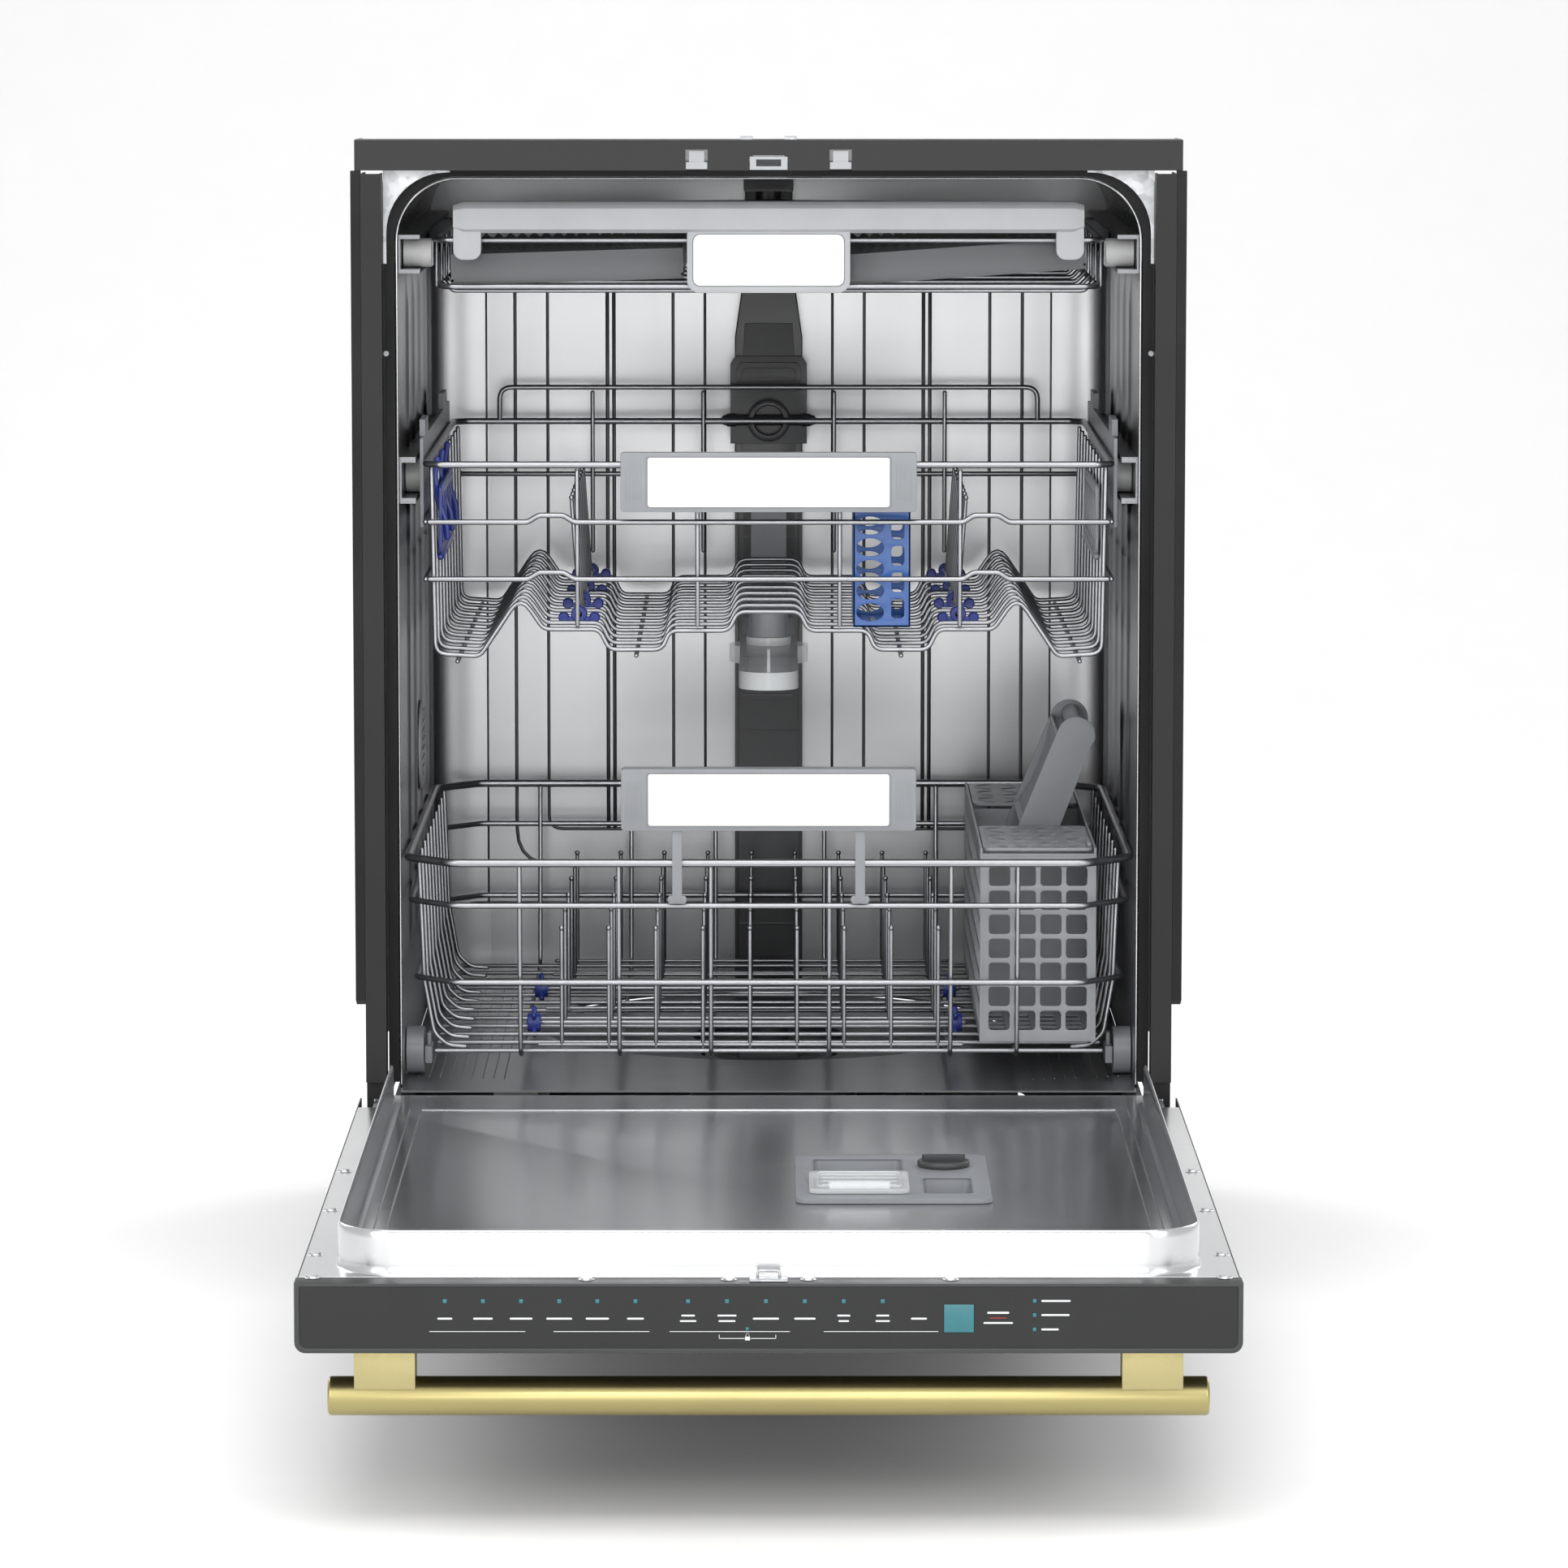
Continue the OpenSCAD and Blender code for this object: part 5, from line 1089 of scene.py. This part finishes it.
# handle: a satin bar with softly turned ends, on two square posts
m = Mesh()
m.lathe([(0, -279.3), (10.8, -279.3), (12.0, -278.7), (12.5, -277.2), (12.5, -140), (12.5, 0), (12.5, 140), (12.5, 277.2), (12.0, 278.7), (10.8, 279.3), (0, 279.3)], (0, -708, 86), "x", 96)
m.done("handle_bar_turned", "brass_satin", "door", "handle_bar", slot="brass_satin", angle=50)
m = Mesh()
for s in (-1, 1):
    x0, x1 = sorted((s * 223.6, s * 262.4))
    m.box((x0, -719.4, 92), (x1, -696.6, 118.9), 0.7)
m.done("handle_post_blocks", "brass_post", "door", "handle_posts", slot="brass_satin", angle=40)

# screws of the liner: pan heads with a cross recess in a pressed dimple
m = Mesh()
for s in (-1, 1):
    for px, py in ((288, -718), (291, -640), (291, -480), (291, -330), (115, -724), (25, -724)):
        c = (s * px, py, 0)
        m.lathe([(5.2, 164.05), (4.7, 164.45), (3.7, 164.1), (3.7, 164.6), (3.4, 165.15), (2.2, 165.36), (1.0, 165.36), (0.9, 164.6), (0, 164.6)], c, "z", 28)
        m.box((s * px - 2.2, py - 0.35, 165.1), (s * px + 2.2, py + 0.35, 165.38)); m.box((s * px - 0.35, py - 2.2, 165.1), (s * px + 0.35, py + 2.2, 165.38))
m.done("liner_screw_heads", "screw_steel", "door", "liner_screws", slot="screw_steel")

# detergent and rinse aid dispenser
m = Mesh()
fl = rrect(18.2, 149.8, -457.8, -282.2, 9, 6)
m.prism(fl, lambda u, v, w: (u, v, 164.15 + w), 3.7, 0.9, holes=[rrect(30, 92, -440, -375, 6, 5), rrect(30, 92, -365, -300, 6, 5), rrect(104, 138, -440, -375, 5, 5),
        [(120 + 15 * math.cos(2 * math.pi * k / 32), -330 + 15 * math.sin(2 * math.pi * k / 32)) for k in range(32)]])
for x0, x1, y0, y1, r in ((30, 92, -440, -375, 6), (30, 92, -365, -300, 6), (104, 138, -440, -375, 5)):
    top = rrect(x0, x1, y0, y1, r, 5); bot = rrect(x0 + 3, x1 - 3, y0 + 3, y1 - 3, r, 5)
    m.sheet([[(u, v, 167.0) for u, v in top + top[:1]], [(u, v, 149) for u, v in bot + bot[:1]]])
    m.prism(bot, lambda u, v, w: (u, v, 147.4 + w), 1.6)
    m.tube([(u, v, 167.25) for u, v in top], 0.8, 6, True)
m.box((34, -372.5, 166.5), (88, -367.5, 167.9), 0.5)
m.box((21.6, -454.4, 140.2), (146.4, -285.6, 146.0), 2)
for k in range(5):
    m.box((24.0, -433 + k * 27, 167.7), (26.6, -419 + k * 27, 167.98), 0.1)
m.done("dispenser_moulding", "mid_plastic", "door", "dispenser_body", slot="mid_plastic", angle=40)
m = Mesh()
m.prism(rrect(27.2, 94.8, -442.8, -368.2, 7, 6), lambda u, v, w: (u, v, 168.4 + w), 3.0, 0.9)
m.prism(rrect(40.2, 81.8, -439.8, -434.2, 2.4, 4), lambda u, v, w: (u, v, 171.2 + w), 4.7, 1.0)
m.tube([(u, v, 171.4) for u, v in rrect(33, 89, -430, -375, 5, 5)], 0.5, 6, True)
for k in range(4):
    m.tube([(36, -424 + k * 13, 171.4), (86, -424 + k * 13, 171.4)], 0.35, 6)
m.done("dispenser_cover", "clear_plastic", "detergent_cover", "dispenser_lid", slot="clear_plastic", angle=40)
m = Mesh()
m.lathe([(0, 152.2), (14.8, 152.2), (14.8, 168.2), (17.6, 168.2), (17.95, 169), (17.95, 171), (17.2, 171.9), (14, 172.0), (13, 171.2), (0, 171.2)], (120, -330, 0), "z", 48)
m.prism(rrect(105.2, 134.8, -332.4, -327.6, 2.2, 4), lambda u, v, w: (u, v, 171 + w), 4.9, 0.9)
for k in range(20):
    a = 2 * math.pi * k / 20
    m.rod((120 + 17.3 * math.cos(a), -330 + 17.3 * math.sin(a), 168.6), (120 + 17.3 * math.cos(a), -330 + 17.3 * math.sin(a), 171.3), 0.6, 6)
m.done("rinse_cap_detail", "sump_plastic", "rinse_aid_cap", "rinse_cap", slot="sump_plastic", angle=40)

# latch hook in the middle of the door's edge
m = Mesh()
m.box((-12, -733.8, 164.1), (12, -718.2, 165.3), 0.4)
for s in (-1, 1):
    m.tube(fillet([(s * 7, -723.4 + 1.6, 165.2), (s * 7, -721.6, 169), (0, -721.6, 169.0)], 2.0, 4), 0.95, 10)
m.done("striker_hook", "galvanised", "door", "door_striker", slot="light_plastic")

# ------------------------------------------------------------------ pale sweep behind and below
st = bmesh.new()
prof = [(-9.0, 0.0), (-4.0, 0.0), (0.0, 0.0), (3.4, 0.0)]
for k in range(1, 13):
    a = math.radians(90.0 * k / 12)
    prof.append((3.4 + 1.6 * math.sin(a), 1.6 - 1.6 * math.cos(a)))
prof += [(5.0, 3.0), (5.0, 6.5)]
grid = [[st.verts.new((x, y, z + Z0 / 1000.0 - 0.0005)) for x in (-9, -4.5, 0, 4.5, 9)] for y, z in prof]
for i in range(len(grid) - 1):
    for j in range(4):
        st.faces.new((grid[i][j], grid[i][j + 1], grid[i + 1][j + 1], grid[i + 1][j]))
me = bpy.data.meshes.new("sweep"); st.to_mesh(me); st.free()
for p in me.polygons:
    p.use_smooth = True
sweep = bpy.data.objects.new("sweep", me)
bpy.context.scene.collection.objects.link(sweep)
paper = paint("sweep_paper", (0.86, 0.86, 0.86), 0.9, grain=60, strength=0.02, var=0.006)
# seen from behind, the backdrop lets the camera look through
nt = paper.node_tree
out = [n for n in nt.nodes if n.type == "OUTPUT_MATERIAL"][0]
geo = nt.nodes.new("ShaderNodeNewGeometry")
lp = nt.nodes.new("ShaderNodeLightPath")
both = nt.nodes.new("ShaderNodeMath"); both.operation = "MULTIPLY"
clear_ = nt.nodes.new("ShaderNodeBsdfTransparent")
mixer = nt.nodes.new("ShaderNodeMixShader")
nt.links.new(geo.outputs["Backfacing"], both.inputs[0])
nt.links.new(lp.outputs["Is Camera Ray"], both.inputs[1])
nt.links.new(both.outputs[0], mixer.inputs[0])
nt.links.new(nt.nodes["Principled BSDF"].outputs[0], mixer.inputs[1])
nt.links.new(clear_.outputs[0], mixer.inputs[2])
nt.links.new(mixer.outputs[0], out.inputs["Surface"])
me.materials.append(paper)
